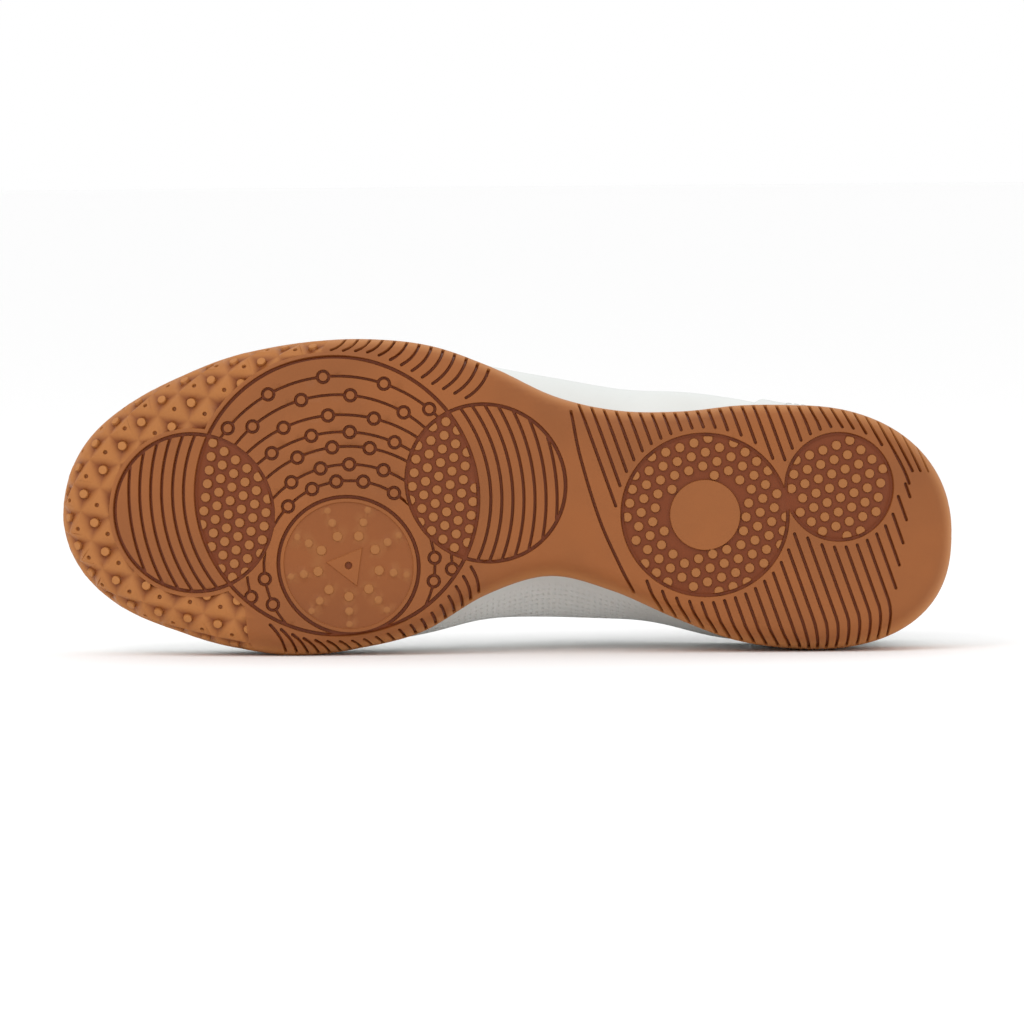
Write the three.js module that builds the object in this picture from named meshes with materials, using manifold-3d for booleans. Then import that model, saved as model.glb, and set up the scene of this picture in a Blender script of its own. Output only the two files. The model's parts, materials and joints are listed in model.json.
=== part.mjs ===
// Indoor football shoe for the left foot, empty, lying on its inner side with the tread to the front.
// Lengths are in millimetres. The shoe is drawn standing: x runs from heel to toe, y to the outer side and
// z up from the ground under the tread. At the end it is turned onto the side that it lies on.
// Tables give sections along the shoe: at is 0 at the heel and 1 at the toe, the rest are shares of named sizes.

import * as THREE from "three";
import { ConvexHull } from "three/addons/math/ConvexHull.js";
import { mergeVertices } from "three/addons/utils/BufferGeometryUtils.js";
import Module from "manifold-3d";

const wasm = await Module();
wasm.setup();

// Driving dimensions of the shoe
const soleLength = 288;
const ballWidth = 102;
const instepHeight = 95;
const heelHeight = 72;
const ankleHeight = 57;
const throatHeight = 88;
const heelLean = 5;

// Outsole
const heelBed = 15.5;
const forefootBed = 9;
const toeSpring = 14;
const heelBevel = 5;
const bevelEnd = 0.09;
const archLift = 1.8;
const archFrom = 0.32;
const archSpan = 0.2;
const rimRise = 9;
const heelRimRise = 3;
const toeRimRise = 3;
const rimWall = 2.8;
const rimStep = 0.8;
const rimBand = 5;
const edgeWidth = 7;
const edgeHeight = 9;
const roundEnd = 50;

// Tread
const reliefDepth = 1.2;
const ringGroove = 1.3;
const plainBand = 1.8;
const studPitch = 10;
const studRidge = 0.9;
const latticeTurn = 7.4;
const pivotSize = 0.33;
const pivotTurn = 6;
const latticeStart = { at: 0.879, shift: 0.277 };
const pitsFrom = { inner: 0.79, outer: 0.745 };

// Upper and what is fixed to it
const clearance = 0.3;
const upperWall = 2;
const collarPadding = 3;
const paddingTop = 8;
const paddingFoot = 22;
const overlayThickness = 1.3;
const eyestayWidth = 13;
const eyeletRadius = 2.2;
const eyeletInset = 7;
const eyeletPairs = 6;
const toeCapLength = 54;
const counterLength = 62;
const counterDrop = 9;
const insoleThickness = 4;
const insoleRound = 1;
const tongueThickness = 4;
const tongueSide = 9;
const laceWidth = 5.5;
const laceThickness = 1.4;

const aroundCount = 48;
const domeCount = 7;
const ringSegments = 26;
const eyeletSegments = 8;

// Half widths of the tread's outline, as shares of the ball width
const outline = [
  { at: 0.0, inner: 0.363, outer: 0.408 },
  { at: 0.17, inner: 0.363, outer: 0.408 },
  { at: 0.24, inner: 0.342, outer: 0.402 },
  { at: 0.31, inner: 0.276, outer: 0.376 },
  { at: 0.38, inner: 0.198, outer: 0.373 },
  { at: 0.45, inner: 0.158, outer: 0.411 },
  { at: 0.52, inner: 0.223, outer: 0.495 },
  { at: 0.59, inner: 0.346, outer: 0.558 },
  { at: 0.66, inner: 0.405, outer: 0.574 },
  { at: 0.73, inner: 0.435, outer: 0.559 },
  { at: 0.8, inner: 0.416, outer: 0.518 },
  { at: 0.87, inner: 0.378, outer: 0.454 },
  { at: 0.94, inner: 0.373, outer: 0.427 },
  { at: 1.0, inner: 0.377, outer: 0.441 },
];

// The upper's widest half widths and its ridge's sideways place, as shares of the ball width,
// the widest level's height over the rim and the ridge's height over the rim, as shares of the instep's rise
const last = [
  { at: 0.0, inner: 0.338, outer: 0.377, shift: 0.02, belly: 0.14, crown: 1.25, fullness: 2 },
  { at: 0.17, inner: 0.343, outer: 0.397, shift: 0.025, belly: 0.14, crown: 1.26, fullness: 2 },
  { at: 0.24, inner: 0.341, outer: 0.424, shift: 0.035, belly: 0.16, crown: 1.24, fullness: 2 },
  { at: 0.31, inner: 0.309, outer: 0.444, shift: 0.045, belly: 0.2, crown: 1.17, fullness: 2 },
  { at: 0.38, inner: 0.293, outer: 0.45, shift: 0.055, belly: 0.22, crown: 1.06, fullness: 2 },
  { at: 0.45, inner: 0.29, outer: 0.474, shift: 0.064, belly: 0.22, crown: 0.92, fullness: 2 },
  { at: 0.52, inner: 0.303, outer: 0.502, shift: 0.069, belly: 0.18, crown: 0.79, fullness: 2 },
  { at: 0.59, inner: 0.355, outer: 0.541, shift: 0.069, belly: 0.12, crown: 0.685, fullness: 2.05 },
  { at: 0.66, inner: 0.394, outer: 0.557, shift: 0.059, belly: 0.09, crown: 0.582, fullness: 2.1 },
  { at: 0.73, inner: 0.418, outer: 0.541, shift: 0.049, belly: 0.085, crown: 0.494, fullness: 2.2 },
  { at: 0.8, inner: 0.4, outer: 0.5, shift: 0.039, belly: 0.08, crown: 0.41, fullness: 2.3 },
  { at: 0.87, inner: 0.363, outer: 0.437, shift: 0.025, belly: 0.075, crown: 0.345, fullness: 2.4 },
  { at: 0.94, inner: 0.355, outer: 0.412, shift: 0.02, belly: 0.07, crown: 0.285, fullness: 2.5 },
  { at: 1.0, inner: 0.358, outer: 0.422, shift: 0.02, belly: 0.06, crown: 0.24, fullness: 2.5 },
];

// The collar's edge between its low point under the ankle, its top at the heel and its top at the throat
const collarLine = [
  { at: -0.08, heel: 1.1, throat: 0 },
  { at: 0.0, heel: 1, throat: 0 },
  { at: 0.06, heel: 0.8, throat: 0 },
  { at: 0.12, heel: 0.3, throat: 0 },
  { at: 0.19, heel: 0, throat: 0 },
  { at: 0.26, heel: 0, throat: 0.14 },
  { at: 0.33, heel: 0, throat: 0.52 },
  { at: 0.38, heel: 0, throat: 0.88 },
  { at: 0.41, heel: 0, throat: 1 },
];

// Half widths of the throat and of the tongue under it, as shares of the ball width
const throat = [
  { at: 0.33, half: 0.19 },
  { at: 0.41, half: 0.167 },
  { at: 0.53, half: 0.13 },
  { at: 0.66, half: 0.1 },
];

const throatTop = 0.41;
const throatEnd = 0.65;
const tongueTop = 0.335;
const tongueEnd = 0.71;
const firstEyelet = 0.437;
const lastEyelet = 0.645;
const toeBreak = 0.7;
const frontStep = 3;
const frontRound = 0.13;
const cutFloor = 0.65;
const sides = {
  inner: { sign: -1, heelPower: 2.4 },
  outer: { sign: 1, heelPower: 2.2 },
};

// Circles of the tread: centre along the shoe as a share of its length, centre and radius as shares of the ball
const circles = {
  forefoot: { at: 0.684, shift: 0.069, radius: 0.448 },
  toe: { at: 0.851, shift: 0.007, radius: 0.253 },
  waist: { at: 0.523, shift: 0.13, radius: 0.253 },
  pivot: { at: 0.674, shift: -0.143, radius: 0.2216 },
  heel: { at: 0.2785, shift: 0.051, radius: 0.2637 },
  heelTip: { at: 0.1264, shift: 0.153, radius: 0.1725 },
  heelPad: { at: 0.2785, shift: 0.051, radius: 0.11 },
};

const { PI, cos, sin, min, max, sqrt } = Math;
const mix = (a, b, t) => a + (b - a) * t;

function ease(from, to, value) {
  const t = min(1, max(0, (value - from) / (to - from)));
  return t * t * (3 - 2 * t);
}

// A smooth curve through a table's rows
function follow(rows, column, at) {
  let row = 0;
  while (row < rows.length - 2 && at > rows[row + 1].at) {
    row += 1;
  }
  const slope = (index) => {
    const before = rows[max(index - 1, 0)];
    const after = rows[min(index + 1, rows.length - 1)];
    return (after[column] - before[column]) / (after.at - before.at);
  };
  const from = rows[row];
  const to = rows[row + 1];
  const span = to.at - from.at;
  const t = min(1, max(0, (at - from.at) / span));
  const start = from[column] * (2 * t ** 3 - 3 * t ** 2 + 1) + to[column] * (3 * t ** 2 - 2 * t ** 3);
  return start + span * (slope(row) * (t ** 3 - 2 * t ** 2 + t) + slope(row + 1) * (t ** 3 - t ** 2));
}

// How far a half width has narrowed towards the rounded heel and toe
function endRound(at, side) {
  const fromHeel = min(1, (at * soleLength) / roundEnd);
  const fromToe = min(1, ((1 - at) * soleLength) / roundEnd);
  const power = sides[side].heelPower;
  return (1 - (1 - fromHeel) ** power) ** (1 / power) * sqrt(1 - (1 - fromToe) ** 2);
}

function halfWidth(rows, side, at, inset) {
  return (follow(rows, side, at) * ballWidth - inset) * endRound(at, side);
}

const lengthwise = (at, inset) => inset + at * (soleLength - 2 * inset);

// Height of the tread over the ground, with the toe's spring, the heel's bevel and the arch
function treadLift(at) {
  const spring = toeSpring * max(0, (at - toeBreak) / (1 - toeBreak)) ** 1.9;
  const bevel = heelBevel * max(0, 1 - at / bevelEnd) ** 2.2;
  const arch = archLift * sin(PI * min(1, max(0, (at - archFrom) / archSpan))) ** 2;
  return spring + bevel + arch;
}

function bedHeight(at) {
  return treadLift(at) + mix(heelBed, forefootBed, ease(0.25, 0.62, at));
}

function rimHeight(at) {
  return bedHeight(at) + rimRise + heelRimRise * (1 - ease(0, 0.2, at)) + toeRimRise * ease(0.86, 1, at);
}

const instepRise = instepHeight - rimHeight(throatTop);
const inRim = rimWall + clearance;

// Closed solid through rings of points that run toe, outer side, heel, inner side, with flat strips as its ends
function ringSolid(rings) {
  const count = rings[0].length;
  const corners = [];
  const add = (...points) => points.forEach(([x, y, z]) => corners.push(x, y, z));
  for (let i = 0; i < count; i += 1) {
    const next = (i + 1) % count;
    for (let j = 0; j + 1 < rings.length; j += 1) {
      add(rings[j][i], rings[j][next], rings[j + 1][next]);
      add(rings[j][i], rings[j + 1][next], rings[j + 1][i]);
    }
  }
  const first = rings[0];
  const final = rings[rings.length - 1];
  for (let i = 0; i < count / 2; i += 1) {
    const across = count - i - 1;
    const behind = (count - i) % count;
    add(final[i], final[i + 1], final[across]);
    add(final[i], final[across], final[behind]);
    add(first[i], first[across], first[i + 1]);
    add(first[i], first[behind], first[across]);
  }
  const geometry = new THREE.BufferGeometry();
  geometry.setAttribute("position", new THREE.Float32BufferAttribute(corners, 3));
  return solidOf(geometry);
}

function solidOf(geometry) {
  geometry.deleteAttribute("normal");
  geometry.deleteAttribute("uv");
  const merged = mergeVertices(geometry, 1e-4);
  const index = merged.index.array;
  const kept = [];
  for (let i = 0; i < index.length; i += 3) {
    const [a, b, c] = [index[i], index[i + 1], index[i + 2]];
    if (a !== b && b !== c && c !== a) {
      kept.push(a, b, c);
    }
  }
  return new wasm.Manifold(new wasm.Mesh({
    numProp: 3,
    vertProperties: new Float32Array(merged.attributes.position.array),
    triVerts: new Uint32Array(kept),
  }));
}

// Upright prism over a plan outline, and a prism across the shoe over a side outline
function planPrism(points, low, high) {
  const shape = new THREE.Shape(points);
  const geometry = new THREE.ExtrudeGeometry(shape, { depth: high - low, bevelEnabled: false });
  return solidOf(geometry.translate(0, 0, low));
}

function sidePrism(points) {
  const shape = new THREE.Shape(points);
  const geometry = new THREE.ExtrudeGeometry(shape, { depth: 2 * ballWidth, bevelEnabled: false });
  return solidOf(geometry.rotateX(PI / 2).translate(0, ballWidth, 0));
}

const point = (x, y) => new THREE.Vector2(x, y);

function sample(count, make) {
  return Array.from({ length: count + 1 }, (_, i) => make(i / count));
}

function circlePoints(x, y, radius, segments = ringSegments) {
  return sample(segments, (t) => point(x + radius * cos(2 * PI * t), y + radius * sin(2 * PI * t))).slice(0, -1);
}

const around = sample(aroundCount, (t) => ({
  at: (1 + cos(2 * PI * t)) / 2,
  side: t < 0.5 ? "outer" : "inner",
})).slice(0, -1);

function ring(rows, inset, height) {
  return around.map(({ at, side }) => [
    lengthwise(at, inset),
    sides[side].sign * halfWidth(rows, side, at, inset),
    height(at),
  ]);
}

// The outsole's outer skin from the tread round its edge to the rim, sunk below the real surface by a depth
function soleSkin(sunk) {
  const edge = sample(4, (t) => {
    const angle = (t * PI) / 2;
    const inset = edgeWidth - (edgeWidth - sunk) * sin(angle);
    const rise = edgeHeight - (edgeHeight - sunk) * cos(angle);
    return ring(outline, inset, (at) => treadLift(at) + rise);
  });
  return [
    ...edge,
    ring(outline, sunk, (at) => rimHeight(at) - rimBand),
  ];
}

function outsoleBody() {
  return ringSolid([
    ...soleSkin(0),
    ring(outline, rimStep, (at) => rimHeight(at) - rimBand + rimStep),
    ring(outline, rimStep, (at) => rimHeight(at) - rimStep),
    ring(outline, 2 * rimStep, rimHeight),
    ring(outline, rimWall, rimHeight),
    ring(outline, rimWall, bedHeight),
  ]);
}

// Everything more than the relief's depth inside the tread, so that a pattern cut leaves it whole
function belowRelief() {
  const skin = soleSkin(reliefDepth);
  return ringSolid([...skin, ring(outline, reliefDepth, () => instepHeight)]);
}

function placed(name) {
  const { at, shift, radius } = circles[name];
  return { x: at * soleLength, y: shift * ballWidth, radius: radius * ballWidth };
}

const disc = (name, grow = 0) => {
  const { x, y, radius } = placed(name);
  return planPrism(circlePoints(x, y, radius + grow), -instepHeight, instepHeight);
};

const grooveRing = (name) => disc(name, ringGroove / 2).subtract(disc(name, -ringGroove / 2));

// Triangular pits of the toe, on a turned lattice of equal triangles that stops at the circles
function toePits() {
  const turn = THREE.MathUtils.degToRad(latticeTurn);
  const radius = (studPitch - 2 * studRidge) / sqrt(3);
  const reach = Math.ceil((1.2 * ballWidth) / studPitch);
  const steps = sample(2 * reach, (t) => studPitch * Math.round(2 * reach * t - reach));
  const rings = [placed("forefoot"), placed("toe")];
  const pits = [];
  for (const i of steps) {
    for (const j of steps) {
      const x = latticeStart.at * soleLength + i * cos(turn) + j * cos(turn + PI / 3);
      const y = latticeStart.shift * ballWidth + i * sin(turn) + j * sin(turn + PI / 3);
      const at = x / soleLength;
      const side = y < 0 ? "inner" : "outer";
      const inside = at < 1 && at > pitsFrom[side] && Math.abs(y) < halfWidth(outline, side, at, edgeWidth / 2);
      if (inside && rings.every((circle) => Math.hypot(x - circle.x, y - circle.y) > circle.radius)) {
        const corner = (k) => turn - PI / 2 + (2 * PI * k) / 3;
        const points = [0, 1, 2].map((k) => point(x + radius * cos(corner(k)), y + radius * sin(corner(k))));
        pits.push(planPrism(points, -edgeHeight, treadLift(at) + edgeHeight));
      }
    }
  }
  const bands = disc("forefoot", plainBand).add(disc("toe", plainBand));
  return wasm.Manifold.union(pits).subtract(bands);
}

function pivotTriangle() {
  const { x, y, radius } = placed("pivot");
  const size = pivotSize * radius;
  const turn = THREE.MathUtils.degToRad(pivotTurn);
  return planPrism(circlePoints(0, 0, size, 3).map((corner) => corner.rotateAround(point(0, 0), turn)
    .add(point(x, y))), -instepHeight, instepHeight);
}

function treadPattern() {
  const fields = [
    disc("forefoot").intersect(disc("toe").add(disc("waist"))),
    disc("pivot").subtract(pivotTriangle()),
    disc("heel").subtract(disc("heelPad")),
    disc("heelTip"),
    grooveRing("forefoot"),
    grooveRing("toe"),
    grooveRing("waist"),
    toePits(),
  ];
  return wasm.Manifold.union(fields);
}

function makeOutsole() {
  return outsoleBody().subtract(treadPattern().subtract(belowRelief()));
}

// The upper's surface across the shoe at one section, as half widths and heights, from its foot to the ridge
function ridge(at, inset) {
  const fade = sqrt(endRound(at, "inner") * endRound(at, "outer"));
  const fromToe = min(1, (1 - at) / frontRound);
  const high = frontStep + (follow(last, "crown", at) * instepRise - frontStep) * sqrt(1 - (1 - fromToe) ** 2);
  return { y: follow(last, "shift", at) * ballWidth * fade, z: rimHeight(at) + high - inset };
}

function belly(at, side, inset) {
  const { sign } = sides[side];
  const rise = follow(last, "belly", at) * instepRise * endRound(at, side);
  return { y: sign * halfWidth(last, side, at, inset), z: rimHeight(at) + rise };
}

function upperSection(at, side, inset) {
  const { sign } = sides[side];
  const foot = { y: sign * halfWidth(outline, side, at, inRim + inset), z: rimHeight(at) };
  const wide = belly(at, side, inset);
  const top = ridge(at, inset);
  const swell = [1 / 3, 2 / 3].map((t) => {
    const firstPull = { y: mix(foot.y, wide.y, 0.35), z: mix(foot.z, wide.z, 0.35) };
    const lastPull = { y: wide.y, z: mix(foot.z, wide.z, 0.6) };
    const weights = [(1 - t) ** 3, 3 * t * (1 - t) ** 2, 3 * t ** 2 * (1 - t), t ** 3];
    const blend = (key) => [foot, firstPull, lastPull, wide].reduce((sum, p, k) => sum + weights[k] * p[key], 0);
    return { y: blend("y"), z: blend("z") };
  });
  const power = 2 / follow(last, "fullness", at);
  const dome = sample(domeCount, (t) => ({
    y: mix(top.y, wide.y, cos((t * PI) / 2) ** power * (t < 1)),
    z: mix(wide.z, top.z, sin((t * PI) / 2) ** power),
  }));
  return [foot, ...swell, ...dome];
}

// The heel's back swells a little over the rim and leans forward at the collar
function heelShift(at, z) {
  const t = min(1.2, max(0, (z - rimHeight(at)) / (heelHeight - rimHeight(0))));
  return (heelLean * t * t - 0.3 * heelLean * sin(PI * min(1, t))) * max(0, 1 - at / 0.3) ** 2;
}

function padding(at, z) {
  return collarPadding * (1 - ease(0.18, 0.31, at)) * ease(ankleHeight - paddingFoot, ankleHeight - paddingTop, z);
}

// Closed form of the whole upper, inset from its outer skin, from a foot at a given height
function upperForm(inset, footHeight, padded = false) {
  const sections = around.map(({ at, side }) => {
    const profile = upperSection(at, side, inset);
    const low = { y: profile[0].y, z: footHeight(at) };
    return [low, ...profile].map(({ y, z }) => {
      const extra = padded ? padding(at, z) : 0;
      const squeeze = 1 - extra / (follow(last, side, at) * ballWidth);
      return [lengthwise(at, inRim + inset + extra) + heelShift(at, z), y * squeeze, z];
    });
  });
  return ringSolid(sections[0].map((_, level) => sections.map((section) => section[level])));
}

function collarHeight(at) {
  const heel = follow(collarLine, "heel", at) * (heelHeight - ankleHeight);
  return ankleHeight + heel + follow(collarLine, "throat", at) * (throatHeight - ankleHeight);
}

function collarCut() {
  const line = sample(26, (t) => {
    const at = mix(collarLine[0].at, throatTop, t);
    return point(at * soleLength, collarHeight(at));
  });
  const top = 2 * instepHeight;
  const back = collarLine[0].at * soleLength;
  return sidePrism([...line, point(throatTop * soleLength, top), point(back, top)]);
}

// The throat's opening in plan, grown by a margin: two sides and a round end
function throatPlan(grow, fromAt) {
  const edge = (sign) => sample(6, (t) => {
    const at = mix(fromAt, throatEnd, t);
    return point(at * soleLength, ridge(at, 0).y + sign * (follow(throat, "half", at) * ballWidth + grow));
  });
  const radius = follow(throat, "half", throatEnd) * ballWidth + grow;
  const centre = ridge(throatEnd, 0).y;
  const end = sample(6, (t) => {
    const angle = mix(-PI / 2, PI / 2, t);
    return point(throatEnd * soleLength + radius * cos(angle), centre + radius * sin(angle));
  });
  return [...edge(-1), ...end.slice(1, -1), ...edge(1).reverse()];
}

function eyelet(pair, side) {
  const at = mix(lastEyelet, firstEyelet, pair / (eyeletPairs - 1));
  const half = follow(throat, "half", at) * ballWidth + eyeletInset;
  return { at, x: at * soleLength, y: ridge(at, 0).y + sides[side].sign * half };
}

// Height of the upper's skin over a point in plan, and the direction that stands square on it
function skinHeight(at, side, y) {
  const wide = belly(at, side, 0);
  const top = ridge(at, 0);
  const power = follow(last, "fullness", at);
  const share = min(1, Math.abs((y - top.y) / (wide.y - top.y)));
  return mix(wide.z, top.z, (1 - share ** power) ** (1 / power));
}

function skinNormal(at, side, y) {
  const step = 1;
  const along = skinHeight(at + step / soleLength, side, y) - skinHeight(at - step / soleLength, side, y);
  const across = skinHeight(at, side, y + step) - skinHeight(at, side, y - step);
  return new THREE.Vector3(-along / (2 * step), -across / (2 * step), 1).normalize();
}

function eyeletHoles() {
  const length = 8 * (upperWall + overlayThickness);
  const up = new THREE.Vector3(0, 1, 0);
  const holes = [];
  for (let pair = 0; pair < eyeletPairs; pair += 1) {
    for (const side of Object.keys(sides)) {
      const { at, x, y } = eyelet(pair, side);
      const tilt = new THREE.Quaternion().setFromUnitVectors(up, skinNormal(at, side, y));
      const pin = new THREE.CylinderGeometry(eyeletRadius, eyeletRadius, length, eyeletSegments);
      holes.push(solidOf(pin.applyQuaternion(tilt).translate(x, y, skinHeight(at, side, y))));
    }
  }
  return wasm.Manifold.union(holes);
}

const upperFoot = (at) => bedHeight(at) + clearance;
const deepFoot = (at) => bedHeight(at) - heelBed;
const openings = collarCut().add(planPrism(throatPlan(0, throatTop - 0.02), cutFloor * ankleHeight, 2 * instepHeight));
const eyelets = eyeletHoles();

function makeUpper() {
  const wall = upperForm(0, upperFoot).subtract(upperForm(upperWall, deepFoot, true));
  return wall.subtract(openings).subtract(eyelets);
}

// Thin shell just over the upper's skin, from which the overlays are cut
function skinShell(gap, thickness) {
  return upperForm(-gap - thickness, upperFoot).subtract(upperForm(-gap, deepFoot));
}

const overlayShell = skinShell(clearance, overlayThickness);

function aboveRim() {
  const edge = (at) => rimHeight(at) + 2 * clearance;
  const line = sample(30, (t) => point(lengthwise(t, inRim), edge(t)));
  const top = 2 * instepHeight;
  const [back, front] = [-0.1 * soleLength, 1.1 * soleLength];
  return sidePrism([point(back, edge(0)), ...line, point(front, edge(1)), point(front, top), point(back, top)]);
}

function makeToeCap() {
  const edge = sample(16, (t) => {
    const y = mix(-ballWidth, ballWidth, t);
    return point(soleLength - toeCapLength - (toeCapLength * 0.4 * y * y) / (ballWidth / 2) ** 2, y);
  });
  const far = 1.2 * soleLength;
  const outlinePoints = [...edge, point(far, ballWidth), point(far, -ballWidth)].reverse();
  return overlayShell.intersect(planPrism(outlinePoints, 0, instepHeight)).intersect(aboveRim());
}

function makeHeelCounter() {
  const reach = counterLength / soleLength;
  const top = sample(12, (t) => {
    const at = mix(-0.1, reach, t);
    const drop = counterDrop + (collarHeight(reach) - rimHeight(reach)) * 0.35 * ease(0.4, 1, t);
    return point(at * soleLength, collarHeight(at) - drop);
  });
  const low = [point(counterLength * 1.25, 0), point(-0.1 * soleLength, 0)];
  return overlayShell.intersect(sidePrism([...low, ...top].reverse())).intersect(aboveRim());
}

function makeEyestay() {
  const floor = mix(rimHeight(throatTop), instepHeight, 0.3);
  const band = planPrism(throatPlan(eyestayWidth, throatTop - 0.04), floor, 2 * instepHeight);
  return overlayShell.intersect(band).subtract(openings).subtract(eyelets);
}

function makeInsole() {
  const inset = rimWall + upperWall + 2 * clearance;
  const low = (at) => bedHeight(at) + clearance;
  return ringSolid([
    ring(outline, inset, low),
    ring(outline, inset, (at) => low(at) + insoleThickness - insoleRound),
    ring(outline, inset + insoleRound, (at) => low(at) + insoleThickness),
  ]);
}

function makeTongue() {
  const gap = upperWall + clearance;
  const shell = upperForm(gap, upperFoot).subtract(upperForm(gap + tongueThickness, deepFoot));
  const rows = sample(12, (t) => {
    const at = mix(tongueTop, tongueEnd, t);
    const half = follow(throat, "half", at) * ballWidth + tongueSide;
    const corner = sqrt(1 - max(0, 1 - t / 0.1) ** 2);
    const tip = sqrt(1 - max(0, 1 - (1 - t) / 0.1) ** 2);
    return { x: at * soleLength, y: ridge(at, 0).y, half: half * (0.6 + 0.4 * corner) * (0.5 + 0.5 * tip) };
  });
  const plan = [
    ...rows.map(({ x, y, half }) => point(x, y - half)),
    ...rows.map(({ x, y, half }) => point(x, y + half)).reverse(),
  ];
  const floor = mix(rimHeight(tongueEnd), instepHeight, 0.34);
  return shell.intersect(planPrism(plan, floor, 2 * instepHeight));
}

function bar(from, to, width) {
  const middle = point((from.x + to.x) / 2, (from.y + to.y) / 2);
  const direction = new THREE.Vector2(to.x - from.x, to.y - from.y);
  const half = direction.length() / 2 + width / 2;
  direction.normalize();
  const corner = (along, across) => point(
    middle.x + direction.x * along - direction.y * across,
    middle.y + direction.y * along + direction.x * across,
  );
  const side = width / 2;
  return planPrism([corner(-half, -side), corner(half, -side), corner(half, side), corner(-half, side)],
    ankleHeight / 2, 2 * instepHeight);
}

// One straight bar at the toe end, then crossings up to the top pair, where the hidden ends stop
function makeLace() {
  const gap = clearance + overlayThickness + clearance;
  const bars = [bar(eyelet(0, "inner"), eyelet(0, "outer"), laceWidth)];
  for (let pair = 0; pair + 1 < eyeletPairs; pair += 1) {
    bars.push(bar(eyelet(pair, "inner"), eyelet(pair + 1, "outer"), laceWidth));
    bars.push(bar(eyelet(pair, "outer"), eyelet(pair + 1, "inner"), laceWidth));
  }
  return skinShell(gap, laceThickness).intersect(wasm.Manifold.union(bars));
}

const rubber = { color: 0xa8683e, roughness: 0.62, metalness: 0 };
const whiteLeather = { color: 0xe9ebe8, roughness: 0.5, metalness: 0 };
const overlayLeather = { color: 0xdfe2df, roughness: 0.55, metalness: 0 };
const padded = { color: 0xe4e6e3, roughness: 0.8, metalness: 0 };
const foam = { color: 0xcfd2cf, roughness: 0.9, metalness: 0 };
const cotton = { color: 0xf0f1ee, roughness: 0.9, metalness: 0 };

const pieces = [
  { name: "outsole", solid: makeOutsole(), finish: rubber },
  { name: "upper", solid: makeUpper(), finish: whiteLeather },
  { name: "insole", solid: makeInsole(), finish: foam },
  { name: "tongue", solid: makeTongue(), finish: padded },
  { name: "toe_cap", solid: makeToeCap(), finish: overlayLeather },
  { name: "heel_counter", solid: makeHeelCounter(), finish: overlayLeather },
  { name: "eyestay", solid: makeEyestay(), finish: overlayLeather },
  { name: "lace", solid: makeLace(), finish: cotton },
];

function meshOf({ name, solid, finish }) {
  const { vertProperties, triVerts } = solid.getMesh();
  const geometry = new THREE.BufferGeometry();
  geometry.setAttribute("position", new THREE.BufferAttribute(vertProperties, 3));
  geometry.setIndex(new THREE.BufferAttribute(triVerts, 1));
  geometry.computeVertexNormals();
  const mesh = new THREE.Mesh(geometry, new THREE.MeshStandardMaterial(finish));
  mesh.name = name;
  return mesh;
}

// The point on which the shoe balances; its foam-cored sole is about as dense as the rest
function balancePoint(meshes) {
  const centre = new THREE.Vector3();
  let volume = 0;
  meshes.forEach(({ geometry }) => {
    const { position } = geometry.attributes;
    const { array } = geometry.index;
    for (let i = 0; i < array.length; i += 3) {
      const [a, b, c] = [0, 1, 2].map((k) => new THREE.Vector3().fromBufferAttribute(position, array[i + k]));
      const share = a.dot(b.clone().cross(c)) / 6;
      centre.addScaledVector(a.add(b).add(c), share / 4);
      volume += share;
    }
  });
  return centre.divideScalar(volume);
}

// The flat side of the shoe's hull that it settles on when it is laid down on its inner side
function restingSide(meshes) {
  const points = [];
  meshes.forEach(({ geometry: { attributes: { position } } }) => {
    for (let i = 0; i < position.count; i += 1) {
      points.push(new THREE.Vector3().fromBufferAttribute(position, i));
    }
  });
  const hull = new ConvexHull().setFromPoints(points);
  const centre = balancePoint(meshes);
  const reach = (face, down) => (face.constant - face.normal.dot(centre)) / face.normal.dot(down);
  let down = new THREE.Vector3(0, -1, 0);
  for (let turn = 0; turn < 12; turn += 1) {
    const below = hull.faces.filter((face) => face.normal.dot(down) > 1e-6);
    below.sort((one, other) => reach(one, down) - reach(other, down));
    down = below[0].normal.clone();
  }
  return down;
}

const shoe = new THREE.Group();
const meshes = pieces.map(meshOf);
shoe.add(...meshes);

// Lay it down: the resting side faces the ground, the toe points to -X and the tread to -Y
const up = restingSide(meshes).negate();
const left = new THREE.Vector3(1, 0, 0).addScaledVector(up, -up.x).normalize();
const turned = new THREE.Matrix4().makeBasis(left.clone().negate(), up.clone().cross(left).negate(), up);
shoe.quaternion.setFromRotationMatrix(turned.transpose());
shoe.updateMatrixWorld(true);
const box = new THREE.Box3().setFromObject(shoe, true);
const middle = box.getCenter(new THREE.Vector3());
shoe.position.set(-middle.x, -middle.y, -box.min.z);

const part = new THREE.Group();
part.add(shoe);

export default part;
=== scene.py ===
"""An empty indoor football shoe for the left foot, lying on its inner side with the tread towards the camera.

Lengths are in the shoe's own millimetres: x runs from heel to toe, y to the outer side and z up from the
ground under the tread. The frame's two tread mounts say where that shoe lies, and every piece is put there.
"""

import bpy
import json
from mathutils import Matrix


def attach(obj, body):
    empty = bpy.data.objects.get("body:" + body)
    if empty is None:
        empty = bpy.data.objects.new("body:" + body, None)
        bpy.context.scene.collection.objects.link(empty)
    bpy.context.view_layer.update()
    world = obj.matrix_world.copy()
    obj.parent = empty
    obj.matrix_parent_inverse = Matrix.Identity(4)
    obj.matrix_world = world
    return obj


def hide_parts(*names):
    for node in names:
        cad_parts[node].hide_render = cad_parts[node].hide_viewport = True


bl_info = {
    "name": "Indoor football shoe",
    "version": (1, 0, 0),
    "blender": (4, 5, 0),
    "location": "View3D > Sidebar > Shoe",
    "description": "Builds a gum soled indoor football shoe around its packed frame",
    "category": "Object",
}

import json
from math import atan2, cos, pi, radians, sin, sqrt

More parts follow.
